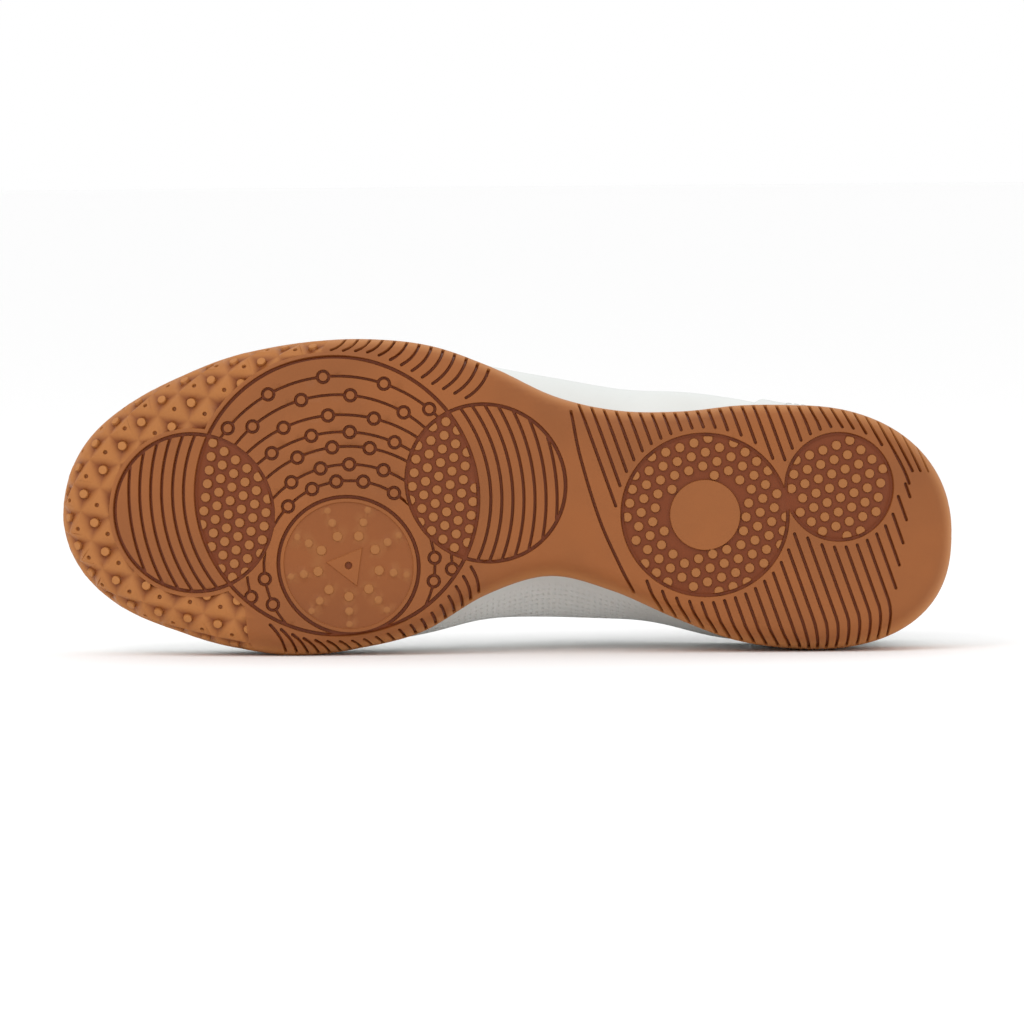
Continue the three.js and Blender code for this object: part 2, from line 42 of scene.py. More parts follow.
import bmesh
import bpy
import numpy as np
from mathutils import Matrix, Vector
from mathutils.geometry import delaunay_2d_cdt

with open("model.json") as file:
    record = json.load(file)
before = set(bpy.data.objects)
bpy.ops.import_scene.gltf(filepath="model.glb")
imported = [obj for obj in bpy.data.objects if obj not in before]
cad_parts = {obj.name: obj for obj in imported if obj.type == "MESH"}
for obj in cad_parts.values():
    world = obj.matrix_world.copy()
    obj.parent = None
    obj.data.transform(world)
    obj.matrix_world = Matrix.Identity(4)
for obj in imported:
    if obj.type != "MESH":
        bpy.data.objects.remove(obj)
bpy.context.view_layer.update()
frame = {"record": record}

MM = 0.001

# Driving sizes of the shoe
LENGTH = 288
BALL = 102
INSTEP = 95
HEEL = 72
ANKLE = 57
THROAT = 88
HEEL_LEAN = 5
HEEL_BED = 15.5
FORE_BED = 9
TOE_SPRING = 14
HEEL_BEVEL = 5
BEVEL_END = 0.09
ARCH_LIFT = 1.8
ARCH_START = 0.32
ARCH_SPAN = 0.2
RIM_RISE = 9
HEEL_RIM_RISE = 3
TOE_RIM_RISE = 3
RIM_WALL = 2.8
RIM_STEP = 0.8
RIM_BAND = 5
EDGE_WIDTH = 7
EDGE_HEIGHT = 9
ROUND_END = 50
GAP = 0.3
WALL = 2
PADDING = 3
PADDING_TOP = 8
PADDING_FOOT = 22
PADDING_END = 0.33
OVERLAY = 1.3
OVERLAY_GAP = 0.05
OVERLAY_EDGE = 1.1
EYESTAY_WIDTH = 13
EYESTAY_REAR = 0.37
EYELET_RADIUS = 2.2
EYELET_INSET = 7
EYELET_PAIRS = 6
TOE_CAP_LENGTH = 54
COUNTER_LENGTH = 62
COUNTER_DROP = 9
THROAT_TOP = 0.41
THROAT_END = 0.65
TONGUE_TOP = 0.335
TONGUE_END = 0.71
FIRST_EYELET = 0.437
LAST_EYELET = 0.645
TOE_BREAK = 0.7
FRONT_STEP = 3
FRONT_ROUND = 0.13


def table(names, rows):
    """Columns of a table by name, the first of them the place along the shoe from heel to toe."""
    return dict(zip(names.split(), np.array(rows, float).T))


# Half widths of the tread's outline, as shares of the ball's width
OUTLINE = table("at inner outer", [
    (0.0, 0.363, 0.408), (0.17, 0.363, 0.408), (0.24, 0.342, 0.402), (0.31, 0.276, 0.376), (0.38, 0.198, 0.373),
    (0.45, 0.158, 0.411), (0.52, 0.223, 0.495), (0.59, 0.346, 0.558), (0.66, 0.405, 0.574), (0.73, 0.435, 0.559),
    (0.8, 0.416, 0.518), (0.87, 0.378, 0.454), (0.94, 0.373, 0.427), (1.0, 0.377, 0.441),
])

# The upper's widest half widths, its ridge's sideways place and the heights of both over the rim
LAST = table("at inner outer shift belly crown fullness", [
    (0.0, 0.338, 0.377, 0.02, 0.14, 1.25, 2), (0.17, 0.343, 0.397, 0.025, 0.14, 1.26, 2),
    (0.24, 0.341, 0.424, 0.035, 0.16, 1.24, 2), (0.31, 0.309, 0.444, 0.045, 0.2, 1.17, 2),
    (0.38, 0.293, 0.45, 0.055, 0.22, 1.06, 2), (0.45, 0.29, 0.474, 0.064, 0.22, 0.92, 2),
    (0.52, 0.303, 0.502, 0.069, 0.18, 0.79, 2), (0.59, 0.355, 0.541, 0.069, 0.12, 0.685, 2.05),
    (0.66, 0.394, 0.557, 0.059, 0.09, 0.582, 2.1), (0.73, 0.418, 0.541, 0.049, 0.085, 0.494, 2.2),
    (0.8, 0.4, 0.5, 0.039, 0.08, 0.41, 2.3), (0.87, 0.363, 0.437, 0.025, 0.075, 0.345, 2.4),
    (0.94, 0.355, 0.412, 0.02, 0.07, 0.285, 2.5), (1.0, 0.358, 0.422, 0.02, 0.06, 0.24, 2.5),
])

COLLAR = table("at heel throat", [
    (-0.08, 1.1, 0), (0.0, 1, 0), (0.06, 0.8, 0), (0.12, 0.3, 0), (0.19, 0, 0), (0.26, 0, 0.14), (0.33, 0, 0.52),
    (0.38, 0, 0.88), (0.41, 0, 1),
])

THROAT_HALF = table("at half", [(0.33, 0.19), (0.41, 0.167), (0.53, 0.13), (0.66, 0.1)])

# Circles of the tread: place along the shoe, sideways place and radius as shares of the ball's width
CIRCLES = {
    "forefoot": (0.6909, 0.0748, 0.4436),
    "toe": (0.8508, 0.0072, 0.2505),
    "waist": (0.5246, 0.1302, 0.2502),
    "pivot": (0.6753, -0.144, 0.2195),
    "heel": (0.2785, 0.051, 0.2578),
    "heel_tip": (0.1296, 0.1529, 0.1677),
    "heel_pad": (0.2785, 0.051, 0.11),
}

# How much longer than round each circle is drawn, and the direction of that in degrees
STRETCH = {
    "forefoot": (0.0147, 25), "toe": (0.0163, 32), "waist": (0.0186, 34), "pivot": (0.0192, 26), "heel": (0.0154, 9),
}

# Where the frame's forefoot mount sits in plan; its heel mount is in the middle of the heel's round pad
FOREFOOT_MOUNT = (190, 25)


def circle(name):
    at, shift, radius = CIRCLES[name]
    return np.array([at * LENGTH, shift * BALL]), radius * BALL


def shoe_placing():
    """The matrix from the shoe's own millimetres to the frame, found from the two mounts on its tread."""
    mounts = {mount["name"]: mount for mount in frame["record"]["mounts"]}
    up = -Vector(mounts["tread_heel"]["axis"]).normalized()
    heel = Vector(mounts["tread_heel"]["pos_m"])
    along = Vector(mounts["tread_forefoot"]["pos_m"]) - heel
    along = (along - along.dot(up) * up).normalized()
    heel_x, heel_y = (float(value) for value in circle("heel_pad")[0])
    turn = atan2(FOREFOOT_MOUNT[1] - heel_y, FOREFOOT_MOUNT[0] - heel_x)
    forward = cos(turn) * along - sin(turn) * up.cross(along)
    outward = up.cross(forward)
    origin = heel - MM * (heel_x * forward + heel_y * outward)
    axes = Matrix((forward, outward, up)).transposed()
    return np.array(axes) * MM, np.array(origin), (forward, outward, up)


AXES, ORIGIN, DIRECTIONS = shoe_placing()


def to_frame(points):
    return np.asarray(points, float) @ AXES.T + ORIGIN


# The shoe's surfaces


def mix(a, b, t):
    return a + (b - a) * t


def ease(low, high, value):
    t = np.clip((value - low) / (high - low), 0, 1)
    return t * t * (3 - 2 * t)


def follow(rows, column, at):
    """A smooth curve through a table's rows."""
    ats, values = rows["at"], rows[column]
    at = np.asarray(at, float)
    slopes = np.empty_like(values)
    slopes[1:-1] = (values[2:] - values[:-2]) / (ats[2:] - ats[:-2])
    slopes[0] = (values[1] - values[0]) / (ats[1] - ats[0])
    slopes[-1] = (values[-1] - values[-2]) / (ats[-1] - ats[-2])
    row = np.clip(np.searchsorted(ats, at, side="right") - 1, 0, len(ats) - 2)
    span = ats[row + 1] - ats[row]
    t = np.clip((at - ats[row]) / span, 0, 1)
    value = values[row] * (2 * t**3 - 3 * t**2 + 1) + values[row + 1] * (3 * t**2 - 2 * t**3)
    return value + span * (slopes[row] * (t**3 - 2 * t**2 + t) + slopes[row + 1] * (t**3 - t**2))


def end_round(at, side):
    """How far a half width has narrowed towards the rounded heel and toe. side is 1 outside and -1 inside."""
    power = np.where(side > 0, 2.2, 2.4)
    from_heel = np.clip(at * LENGTH / ROUND_END, 0, 1)
    from_toe = np.clip((1 - at) * LENGTH / ROUND_END, 0, 1)
    return (1 - (1 - from_heel) ** power) ** (1 / power) * np.sqrt(1 - (1 - from_toe) ** 2)


def half_width(rows, at, side, inset=0.0):
    share = np.where(side > 0, follow(rows, "outer", at), follow(rows, "inner", at))
    return (share * BALL - inset) * end_round(at, side)


def lengthwise(at, inset):
    return inset + at * (LENGTH - 2 * inset)


def tread_lift(at):
    spring = TOE_SPRING * np.maximum(0, (at - TOE_BREAK) / (1 - TOE_BREAK)) ** 1.9
    bevel = HEEL_BEVEL * np.maximum(0, 1 - at / BEVEL_END) ** 2.2
    arch = ARCH_LIFT * np.sin(pi * np.clip((at - ARCH_START) / ARCH_SPAN, 0, 1)) ** 2
    return spring + bevel + arch


def bed_height(at):
    return tread_lift(at) + mix(HEEL_BED, FORE_BED, ease(0.25, 0.62, at))


def rim_height(at):
    return bed_height(at) + RIM_RISE + HEEL_RIM_RISE * (1 - ease(0, 0.2, at)) + TOE_RIM_RISE * ease(0.86, 1, at)


INSTEP_RISE = INSTEP - float(rim_height(THROAT_TOP))
IN_RIM = RIM_WALL + GAP
WIDEST = 0.3


def ridge(at):
    fade = np.sqrt(end_round(at, -1) * end_round(at, 1))
    from_toe = np.clip((1 - at) / FRONT_ROUND, 0, 1)
    high = FRONT_STEP + (follow(LAST, "crown", at) * INSTEP_RISE - FRONT_STEP) * np.sqrt(1 - (1 - from_toe) ** 2)
    return follow(LAST, "shift", at) * BALL * fade, rim_height(at) + high


def widest(at, side):
    rise = follow(LAST, "belly", at) * INSTEP_RISE * end_round(at, side)
    return side * half_width(LAST, at, side), rim_height(at) + rise


def heel_shift(at, z):
    t = np.clip((z - rim_height(at)) / (HEEL - float(rim_height(0))), 0, 1.2)
    swell = HEEL_LEAN * t * t - 0.3 * HEEL_LEAN * np.sin(pi * np.minimum(1, t))
    return swell * np.maximum(0, 1 - at / 0.3) ** 2


def section(at, side, v):
    """The upper's skin without its creases: v runs from the rim at 0 over the widest level up to the ridge at 1."""
    foot_y, foot_z = side * half_width(OUTLINE, at, side, IN_RIM), rim_height(at)
    wide_y, wide_z = widest(at, side)
    top_y, top_z = ridge(at)
    t = np.clip(v / WIDEST, 0, 1)
    weights = (1 - t) ** 3, 3 * t * (1 - t) ** 2, 3 * t * t * (1 - t), t**3
    pull_y = foot_y, mix(foot_y, wide_y, 0.35), wide_y, wide_y
    pull_z = foot_z, mix(foot_z, wide_z, 0.35), mix(foot_z, wide_z, 0.6), wide_z
    low_y = sum(w * p for w, p in zip(weights, pull_y))
    low_z = sum(w * p for w, p in zip(weights, pull_z))
    angle = np.clip((v - WIDEST) / (1 - WIDEST), 0, 1) * pi / 2
    power = 2 / follow(LAST, "fullness", at)
    high_y = mix(top_y, wide_y, np.maximum(np.cos(angle), 0) ** power)
    high_z = mix(wide_z, top_z, np.maximum(np.sin(angle), 0) ** power)
    y, z = np.where(v < WIDEST, low_y, high_y), np.where(v < WIDEST, low_z, high_z)
    return np.stack([lengthwise(at, IN_RIM) + heel_shift(at, z), y, z], -1)


# Soft troughs of the empty upper: place along the shoe and up the section, turn, half length, width and depth
CREASES = [
    {"x": 205, "y": 20, "turn": 78, "reach": 30, "width": 5.0, "depth": 0.9},
    {"x": 212, "y": -12, "turn": 96, "reach": 24, "width": 4.5, "depth": 0.8},
    {"x": 198, "y": -24, "turn": 112, "reach": 16, "width": 3.5, "depth": 0.6},
    {"x": 92, "y": 40, "turn": 20, "reach": 20, "width": 6.0, "depth": 0.8},
    {"x": 98, "y": -30, "turn": 165, "reach": 18, "width": 6.0, "depth": 0.8},
]


def around(angle):
    """Place along the shoe and side at an angle that runs from the toe over the outer side and the heel."""
    angle = np.asarray(angle, float)
    return (1 + np.cos(angle)) / 2, np.where(np.sin(angle) >= 0, 1.0, -1.0)


def angle_at(at, side=1):
    angle = np.arccos(np.clip(2 * np.asarray(at, float) - 1, -1, 1))
    return np.where(side > 0, angle, 2 * pi - angle)


def plain_skin(angle, v):
    at, side = around(angle)
    return section(at, side, v)


def skin_normal(angle, v):
    """Direction square on the skin, pointing out of the shoe."""
    angle, v = np.broadcast_arrays(np.asarray(angle, float), np.asarray(v, float))
    step = 1e-4
    v = np.clip(v, 0.004, 0.996)
    along = plain_skin(angle + step, v) - plain_skin(angle - step, v)
    up = plain_skin(angle, v + step) - plain_skin(angle, v - step)
    normal = np.cross(along, up)
    length = np.linalg.norm(normal, axis=-1, keepdims=True)
    at, _ = around(angle)
    end = np.zeros(normal.shape)
    end[..., 0] = np.where(at > 0.5, 1, -1)
    return np.where(length > 1e-9, normal / np.maximum(length, 1e-12), end)


def crease_depth(points):
    depth = np.zeros(points.shape[:-1])
    for crease in CREASES:
        turn = radians(crease["turn"])
        dx, dy = points[..., 0] - crease["x"], points[..., 1] - crease["y"]
        along, across = dx * cos(turn) + dy * sin(turn), dy * cos(turn) - dx * sin(turn)
        fade = np.exp(-((along / crease["reach"]) ** 2)) * ease(20, 34, points[..., 2])
        trough = np.exp(-((across / crease["width"]) ** 2))
        ridges = 0.45 * np.exp(-(((np.abs(across) - 1.7 * crease["width"]) / crease["width"]) ** 2))
        depth += crease["depth"] * fade * (trough - ridges)
    return depth


def skin(angle, v, lift=0.0):
    """Points on the creased skin, lifted off it."""
    angle, v = np.broadcast_arrays(np.asarray(angle, float), np.asarray(v, float))
    points = plain_skin(angle, v)
    lift = np.asarray(lift) - crease_depth(points)
    normal = skin_normal(angle, v)
    both = normal + skin_normal(2 * pi - angle, v)
    both /= np.linalg.norm(both, axis=-1, keepdims=True)
    normal = np.where((v > 0.9995)[..., None], both, normal)
    return points + normal * lift[..., None]


def skin_height(at, side, y):
    """How far up the section the skin passes over a distance from the ridge."""
    wide_y, _ = widest(at, side)
    top_y, _ = ridge(at)
    share = np.clip(np.abs(y) / np.maximum(np.abs(wide_y - top_y), 1e-6), 0, 1)
    power = 2 / follow(LAST, "fullness", at)
    return WIDEST + (1 - WIDEST) * np.arccos(share ** (1 / power)) * 2 / pi


def collar_height(at):
    heel = follow(COLLAR, "heel", at) * (HEEL - ANKLE)
    return ANKLE + heel + follow(COLLAR, "throat", at) * (THROAT - ANKLE)


def throat_reach(at, grow=0.0):
    """Half width of the throat's opening, grown by a margin, with its round front end."""
    end = float(follow(THROAT_HALF, "half", THROAT_END)) * BALL + grow
    ahead = (at - THROAT_END) * LENGTH
    straight = follow(THROAT_HALF, "half", at) * BALL + grow
    return np.where(ahead < 0, straight, np.sqrt(np.maximum(0, end**2 - ahead**2)))


LEVELS = np.linspace(0, 1, 400)


def level_where(angle, test):
    """The lowest level of each section where a test of its points turns from below to above zero, or 1."""
    angle = np.atleast_1d(angle)
    value = test(plain_skin(angle[:, None], LEVELS[None, :]))
    found = np.ones(len(angle))
    for i, row in enumerate(value):
        past = np.nonzero(row > 0)[0]
        if len(past) and past[0] > 0:
            k = past[0]
            found[i] = mix(LEVELS[k - 1], LEVELS[k], -row[k - 1] / (row[k] - row[k - 1]))
        elif len(past):
            found[i] = 0.0
    return found


def past_opening(points):
    """Above zero for points of the skin over the collar's line or inside the throat."""
    at = points[..., 0] / LENGTH
    collar = np.where(at < THROAT_TOP, points[..., 2] - collar_height(at), -99.0)
    throat = np.where(at > THROAT_TOP - 0.02, throat_reach(at) - np.abs(points[..., 1] - ridge(at)[0]), -99.0)
    return np.maximum(collar, throat)


def opening_level(angle):
    """Where each section of the upper ends at the collar or the throat; 1 where it runs closed over the foot."""
    return level_where(angle, past_opening)


def on_skin(x, y):
    """Angle and level of the skin over a place in plan, ahead of the heel."""
    at = (np.asarray(x, float) - IN_RIM) / (LENGTH - 2 * IN_RIM)
    middle = ridge(at)[0]
    side = np.where(y >= middle, 1.0, -1.0)
    return angle_at(at, side), skin_height(at, side, y - middle)


def eyelet(pair, side):
    """Place of an eyelet in plan; pair 0 is nearest the toe."""
    at = mix(LAST_EYELET, FIRST_EYELET, pair / (EYELET_PAIRS - 1))
    reach = float(follow(THROAT_HALF, "half", at)) * BALL + EYELET_INSET
    return np.array([at * LENGTH, float(ridge(at)[0]) + side * reach])


# Meshes and pieces


SHARP = radians(50)


def new_mesh(name, points, faces, uv=None, attributes=None, merge=True, inside_from=None):
    """A closed mesh of shoe points, put into the frame, with smooth faces; later faces may take a second material."""
    mesh = bpy.data.meshes.new(name)
    mesh.from_pydata(to_frame(points).tolist(), [], [list(map(int, face)) for face in faces])
    if uv is not None:
        layer = mesh.uv_layers.new(name="surface")
        corner = np.empty(len(mesh.loops), int)
        mesh.loops.foreach_get("vertex_index", corner)
        layer.data.foreach_set("uv", np.asarray(uv, float)[corner].astype(np.float32).ravel())
    for key, values in (attributes or {}).items():
        mesh.attributes.new(key, "FLOAT", "POINT").data.foreach_set("value", np.asarray(values, np.float32))
    if inside_from is not None:
        inside = (np.arange(len(faces)) >= inside_from).astype(np.int32)
        mesh.polygons.foreach_set("material_index", inside)
    shape = bmesh.new()
    shape.from_mesh(mesh)
    if merge:
        bmesh.ops.remove_doubles(shape, verts=shape.verts, dist=2e-6)
    bmesh.ops.dissolve_degenerate(shape, edges=shape.edges, dist=1e-7)
    bmesh.ops.recalc_face_normals(shape, faces=shape.faces)
    for face in shape.faces:
        face.smooth = True
    shape.to_mesh(mesh)
    shape.free()
    mesh.set_sharp_from_angle(angle=SHARP)
    return mesh


def in_scene(name, data):
    """A new object of the scene for a mesh, a lamp or a camera."""
    made = bpy.data.objects.new(name, data)
    bpy.context.scene.collection.objects.link(made)
    return made


def finish_piece(mesh, name, material, nodes=(), second=None):
    piece = in_scene(name, mesh)
    if len(mesh.materials):
        mesh.materials.clear()
    mesh.materials.append(material)
    if second:
        mesh.materials.append(second)
    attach(piece, "root")
    if nodes:
        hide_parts(*nodes)
    return piece


def baked(piece):
    """The plain mesh that an object's modifiers make."""
    graph = bpy.context.evaluated_depsgraph_get()
    mesh = bpy.data.meshes.new_from_object(piece.evaluated_get(graph), preserve_all_data_layers=True, depsgraph=graph)
    old = piece.data
    piece.modifiers.clear()
    bpy.data.objects.remove(piece)
    bpy.data.meshes.remove(old)
    return mesh


def quads(rows, columns, closed=False, flip=False, start=0):
    """Faces of a grid of points that is stored row after row."""
    last = columns if closed else columns - 1
    faces = []
    for i in range(rows - 1):
        for j in range(last):
            k = (j + 1) % columns
            face = [start + i * columns + j, start + i * columns + k,
                    start + (i + 1) * columns + k, start + (i + 1) * columns + j]
            faces.append(face[::-1] if flip else face)
    return faces


def distance_to(points, line):
    """Shortest distance of each point from a line of close points."""
    flat = points.reshape(-1, 3)
    best = np.full(len(flat), 1e9)
    for part in np.array_split(line, max(1, len(line) // 64)):
        best = np.minimum(best, np.linalg.norm(flat[:, None] - part[None], axis=2).min(1))
    return best.reshape(points.shape[:-1])


def edge_fall(distance, radius):
    """How far a rounded edge lies under the flat at a distance from it."""
    near = np.clip(1 - distance / radius, 0, 1)
    return radius * (1 - np.sqrt(1 - near**2))


def dense(line, step=0.25):
    """A line with points close together."""
    line = np.asarray(line, float)
    length = np.r_[0, np.cumsum(np.linalg.norm(np.diff(line, axis=0), axis=1))]
    at = np.linspace(0, length[-1], max(2, int(length[-1] / step)))
    return np.stack([np.interp(at, length, line[:, k]) for k in range(line.shape[1])], -1)


# Shader values, finishes and repeated details


def plug(tree, slot, value):
    """Links a value to a socket, or sets the socket to a plain number or colour."""
    if isinstance(value, Value):
        tree.links.new(value.socket, slot)
    else:
        slot.default_value = value


class Value:
    """A shader socket whose sums and products add the Math nodes that they need."""

    def __init__(self, tree, socket):
        self.tree, self.socket = tree, socket

    def math(self, operation, *others, swap=False):
        node = self.tree.nodes.new("ShaderNodeMath")
        node.operation = operation
        values = [self, *others][::-1] if swap else [self, *others]
        for slot, value in zip(node.inputs, values):
            plug(self.tree, slot, value)
        return Value(self.tree, node.outputs[0])

    def __add__(self, other):
        return self.math("ADD", other)

    __radd__ = __add__

    def __sub__(self, other):
        return self.math("SUBTRACT", other)

    def __rsub__(self, other):
        return self.math("SUBTRACT", other, swap=True)

    def __mul__(self, other):
        return self.math("MULTIPLY", other)

    __rmul__ = __mul__

    def sine(self):
        return self.math("SINE")

    def absolute(self):
        return self.math("ABSOLUTE")

    def between(self, low, high):
        """0 under low, 1 over high and smooth in between."""
        node = self.tree.nodes.new("ShaderNodeMapRange")
        node.interpolation_type = "SMOOTHSTEP"
        self.tree.links.new(self.socket, node.inputs["Value"])
        node.inputs["From Min"].default_value = low
        node.inputs["From Max"].default_value = high
        return Value(self.tree, node.outputs["Result"])


class Finish:
    """A material that is built node by node around one Principled shader."""

    def __init__(self, name, **constants):
        self.material = bpy.data.materials.new(name)
        self.material.use_nodes = True
        self.tree = self.material.node_tree
        self.tree.nodes.clear()
        self.shader = self.tree.nodes.new("ShaderNodeBsdfPrincipled")
        output = self.tree.nodes.new("ShaderNodeOutputMaterial")
        self.tree.links.new(self.shader.outputs["BSDF"], output.inputs["Surface"])
        for key, value in constants.items():
            self.shader.inputs[key.replace("_", " ")].default_value = value

    def node(self, kind, output, settings=None, **sockets):
        node = self.tree.nodes.new(kind)
        for key, value in (settings or {}).items():
            setattr(node, key, value)
        for key, value in sockets.items():
            plug(self.tree, node.inputs[key.replace("_", " ")], value)
        return Value(self.tree, node.outputs[output])

    def place(self):
        return self.node("ShaderNodeTexCoord", "Object")

    def surface(self):
        return self.node("ShaderNodeUVMap", "UV", {"uv_map": "surface"})

    def parts(self, vector):
        node = self.tree.nodes.new("ShaderNodeSeparateXYZ")
        self.tree.links.new(vector.socket, node.inputs[0])
        return [Value(self.tree, out) for out in node.outputs]

    def attribute(self, name):
        return self.node("ShaderNodeAttribute", "Fac", {"attribute_name": name})

    def noise(self, vector, scale, detail=3.0, roughness=0.55):
        return self.node("ShaderNodeTexNoise", "Fac", Vector=vector, Scale=scale, Detail=detail, Roughness=roughness)

    def cells(self, vector, scale):
        return self.node("ShaderNodeTexVoronoi", "Distance", Vector=vector, Scale=scale)

    def blend(self, factor, first, second):
        """A colour between two others."""
        node = self.tree.nodes.new("ShaderNodeMix")
        node.data_type = "RGBA"
        for slot, value in zip((node.inputs[0], node.inputs[6], node.inputs[7]), (factor, first, second)):
            plug(self.tree, slot, value)
        return Value(self.tree, node.outputs[2])

    def feed(self, name, value):
        self.tree.links.new(value.socket, self.shader.inputs[name])

    def bump(self, height, distance, strength=1.0, under=None):
        sockets = {"Height": height, "Distance": distance, "Strength": strength}
        if under:
            sockets["Normal"] = under
        normal = self.node("ShaderNodeBump", "Normal", **sockets)
        self.feed("Normal", normal)
        return normal


def colour(value, strength=1.0):
    return tuple(channel * strength for channel in tuple(value)[:3]) + (1.0,)


def gum_rubber(settings):
    """Moulded gum rubber, glossier in its grooves, with painted shade in its grooves and pits, painted highlights on
    its stud tops and painted light on its rounded edge, its wall and the toe's pattern.
    """
    finish = Finish("gum_rubber", IOR=1.5, Specular_IOR_Level=0.3)
    place = finish.place()
    relief = finish.attribute("relief")
    cloudy = finish.noise(place, 22, 3)
    fine = finish.noise(place, 900, 2)
    flat = finish.blend(cloudy.between(0.3, 0.7), colour(settings.gum, 0.9), colour(settings.gum, 1.1))
    # Painted highlight: the tops of the studs take a lighter colour
    painted_stud_highlight = finish.blend(finish.attribute("raised"), flat, colour(settings.gum_painted_stud_highlight))
    # Painted light: the rounded edge, the wall and the toe's pattern take a lighter, more orange colour
    painted_light = finish.blend(finish.attribute("edge"), painted_stud_highlight, colour(settings.gum_painted_edge_light))
    # Painted shade: the grooves and pits darken with their depth
    deep = finish.blend(relief.between(0.05, 0.95), painted_light, colour(settings.gum_painted_groove_shade))
    finish.feed("Base Color", deep)
    finish.feed("Roughness", 0.5 + 0.16 * cloudy - 0.08 * relief)
    finish.bump(0.5 * fine + 0.5 * finish.noise(place, 3500, 2), 0.00012, 0.35)
    return finish.material


def white_leather(settings, name="white_leather", dull=1.0, dimples=True):
    """Coated leather: a fine pebbled grain, soft dimples on the inner quarter and a little dirt in scattered patches.
    """
    finish = Finish(name, IOR=1.48, Coat_Roughness=0.3)
    place = finish.place()
    grain = finish.cells(place, 1500)
    fine = finish.noise(place, 1200, 3)
    cloud = finish.noise(place, 30, 4)
    clean, aged = colour(settings.leather, dull), colour(settings.leather, 0.95 * dull)
    tone = finish.blend(cloud.between(0.35, 0.75), clean, aged)
    scuff = finish.noise(place, 180, 6, 0.7).between(0.66, 0.74) * finish.noise(place, 14, 2).between(0.5, 0.62)
    finish.feed("Base Color", finish.blend(0.35 * scuff, tone, colour(settings.leather, 0.72)))
    finish.feed("Roughness", 0.42 + 0.14 * cloud + 0.12 * scuff)
    normal = finish.bump(0.6 * grain + 0.4 * fine, 0.00008, 0.5)
    if dimples:
        across, up, _ = finish.parts(finish.surface())
        turns = pi / settings.dimple_pitch
        dots = ((across * turns).sine() * (up * turns).sine()).absolute().between(0.55, 1.0)
        dots = dots * finish.attribute("dimpled")
        finish.bump(1.0 - dots, 0.00035, 0.8, normal)
    return finish.material


def knit_lining(name, tint, rib=0.9):
    """Knitted cover: rows of small loops in the piece's own millimetres."""
    finish = Finish(name, Sheen_Weight=0.25, Sheen_Roughness=0.5)
    across, up, _ = finish.parts(finish.surface())
    wale = (across * (pi / rib)).sine().absolute()
    course = ((up + 0.35 * rib * wale) * (pi / (0.8 * rib))).sine().absolute()
    loop = wale * course
    speck = finish.noise(finish.place(), 700, 2)
    finish.feed("Base Color", finish.blend(loop.between(0.05, 0.7), colour(tint, 0.78), colour(tint)))
    finish.feed("Roughness", 0.82 + 0.12 * speck)
    finish.bump(loop + 0.2 * speck, 0.00022, 0.7)
    return finish.material


LACE_THREAD = 0.55


def woven_lace(settings):
    """Flat woven cotton: a herringbone of threads across the band."""
    finish = Finish("lace_cotton", Sheen_Weight=0.2)
    along, across, _ = finish.parts(finish.surface())
    zig = across.absolute() * 0.9
    turns = pi / LACE_THREAD
    weave = ((along + zig) * turns).sine().absolute() * 0.6 + ((along - zig) * turns).sine().absolute() * 0.4
    speck = finish.noise(finish.place(), 900, 2)
    tint = finish.blend(weave.between(0.1, 0.9), colour(settings.lace, 0.72), colour(settings.lace))
    finish.feed("Base Color", tint)
    finish.feed("Roughness", 0.84 + 0.1 * speck)
    finish.bump(weave + 0.15 * speck, 0.0002, 0.8)
    return finish.material


def sewing_thread(name, tint):
    finish = Finish(name, Sheen_Weight=0.3)
    x, y, z = finish.parts(finish.place())
    twist = ((x + y + z) * 9000).sine()
    finish.feed("Base Color", finish.blend(twist.between(-1, 1), colour(tint, 0.8), colour(tint)))
    finish.feed("Roughness", 0.6 + 0.1 * twist)
    return finish.material


STITCH_PITCH = 2.4
STITCH_LENGTH = 1.9
STITCH_WIDTH = 0.55


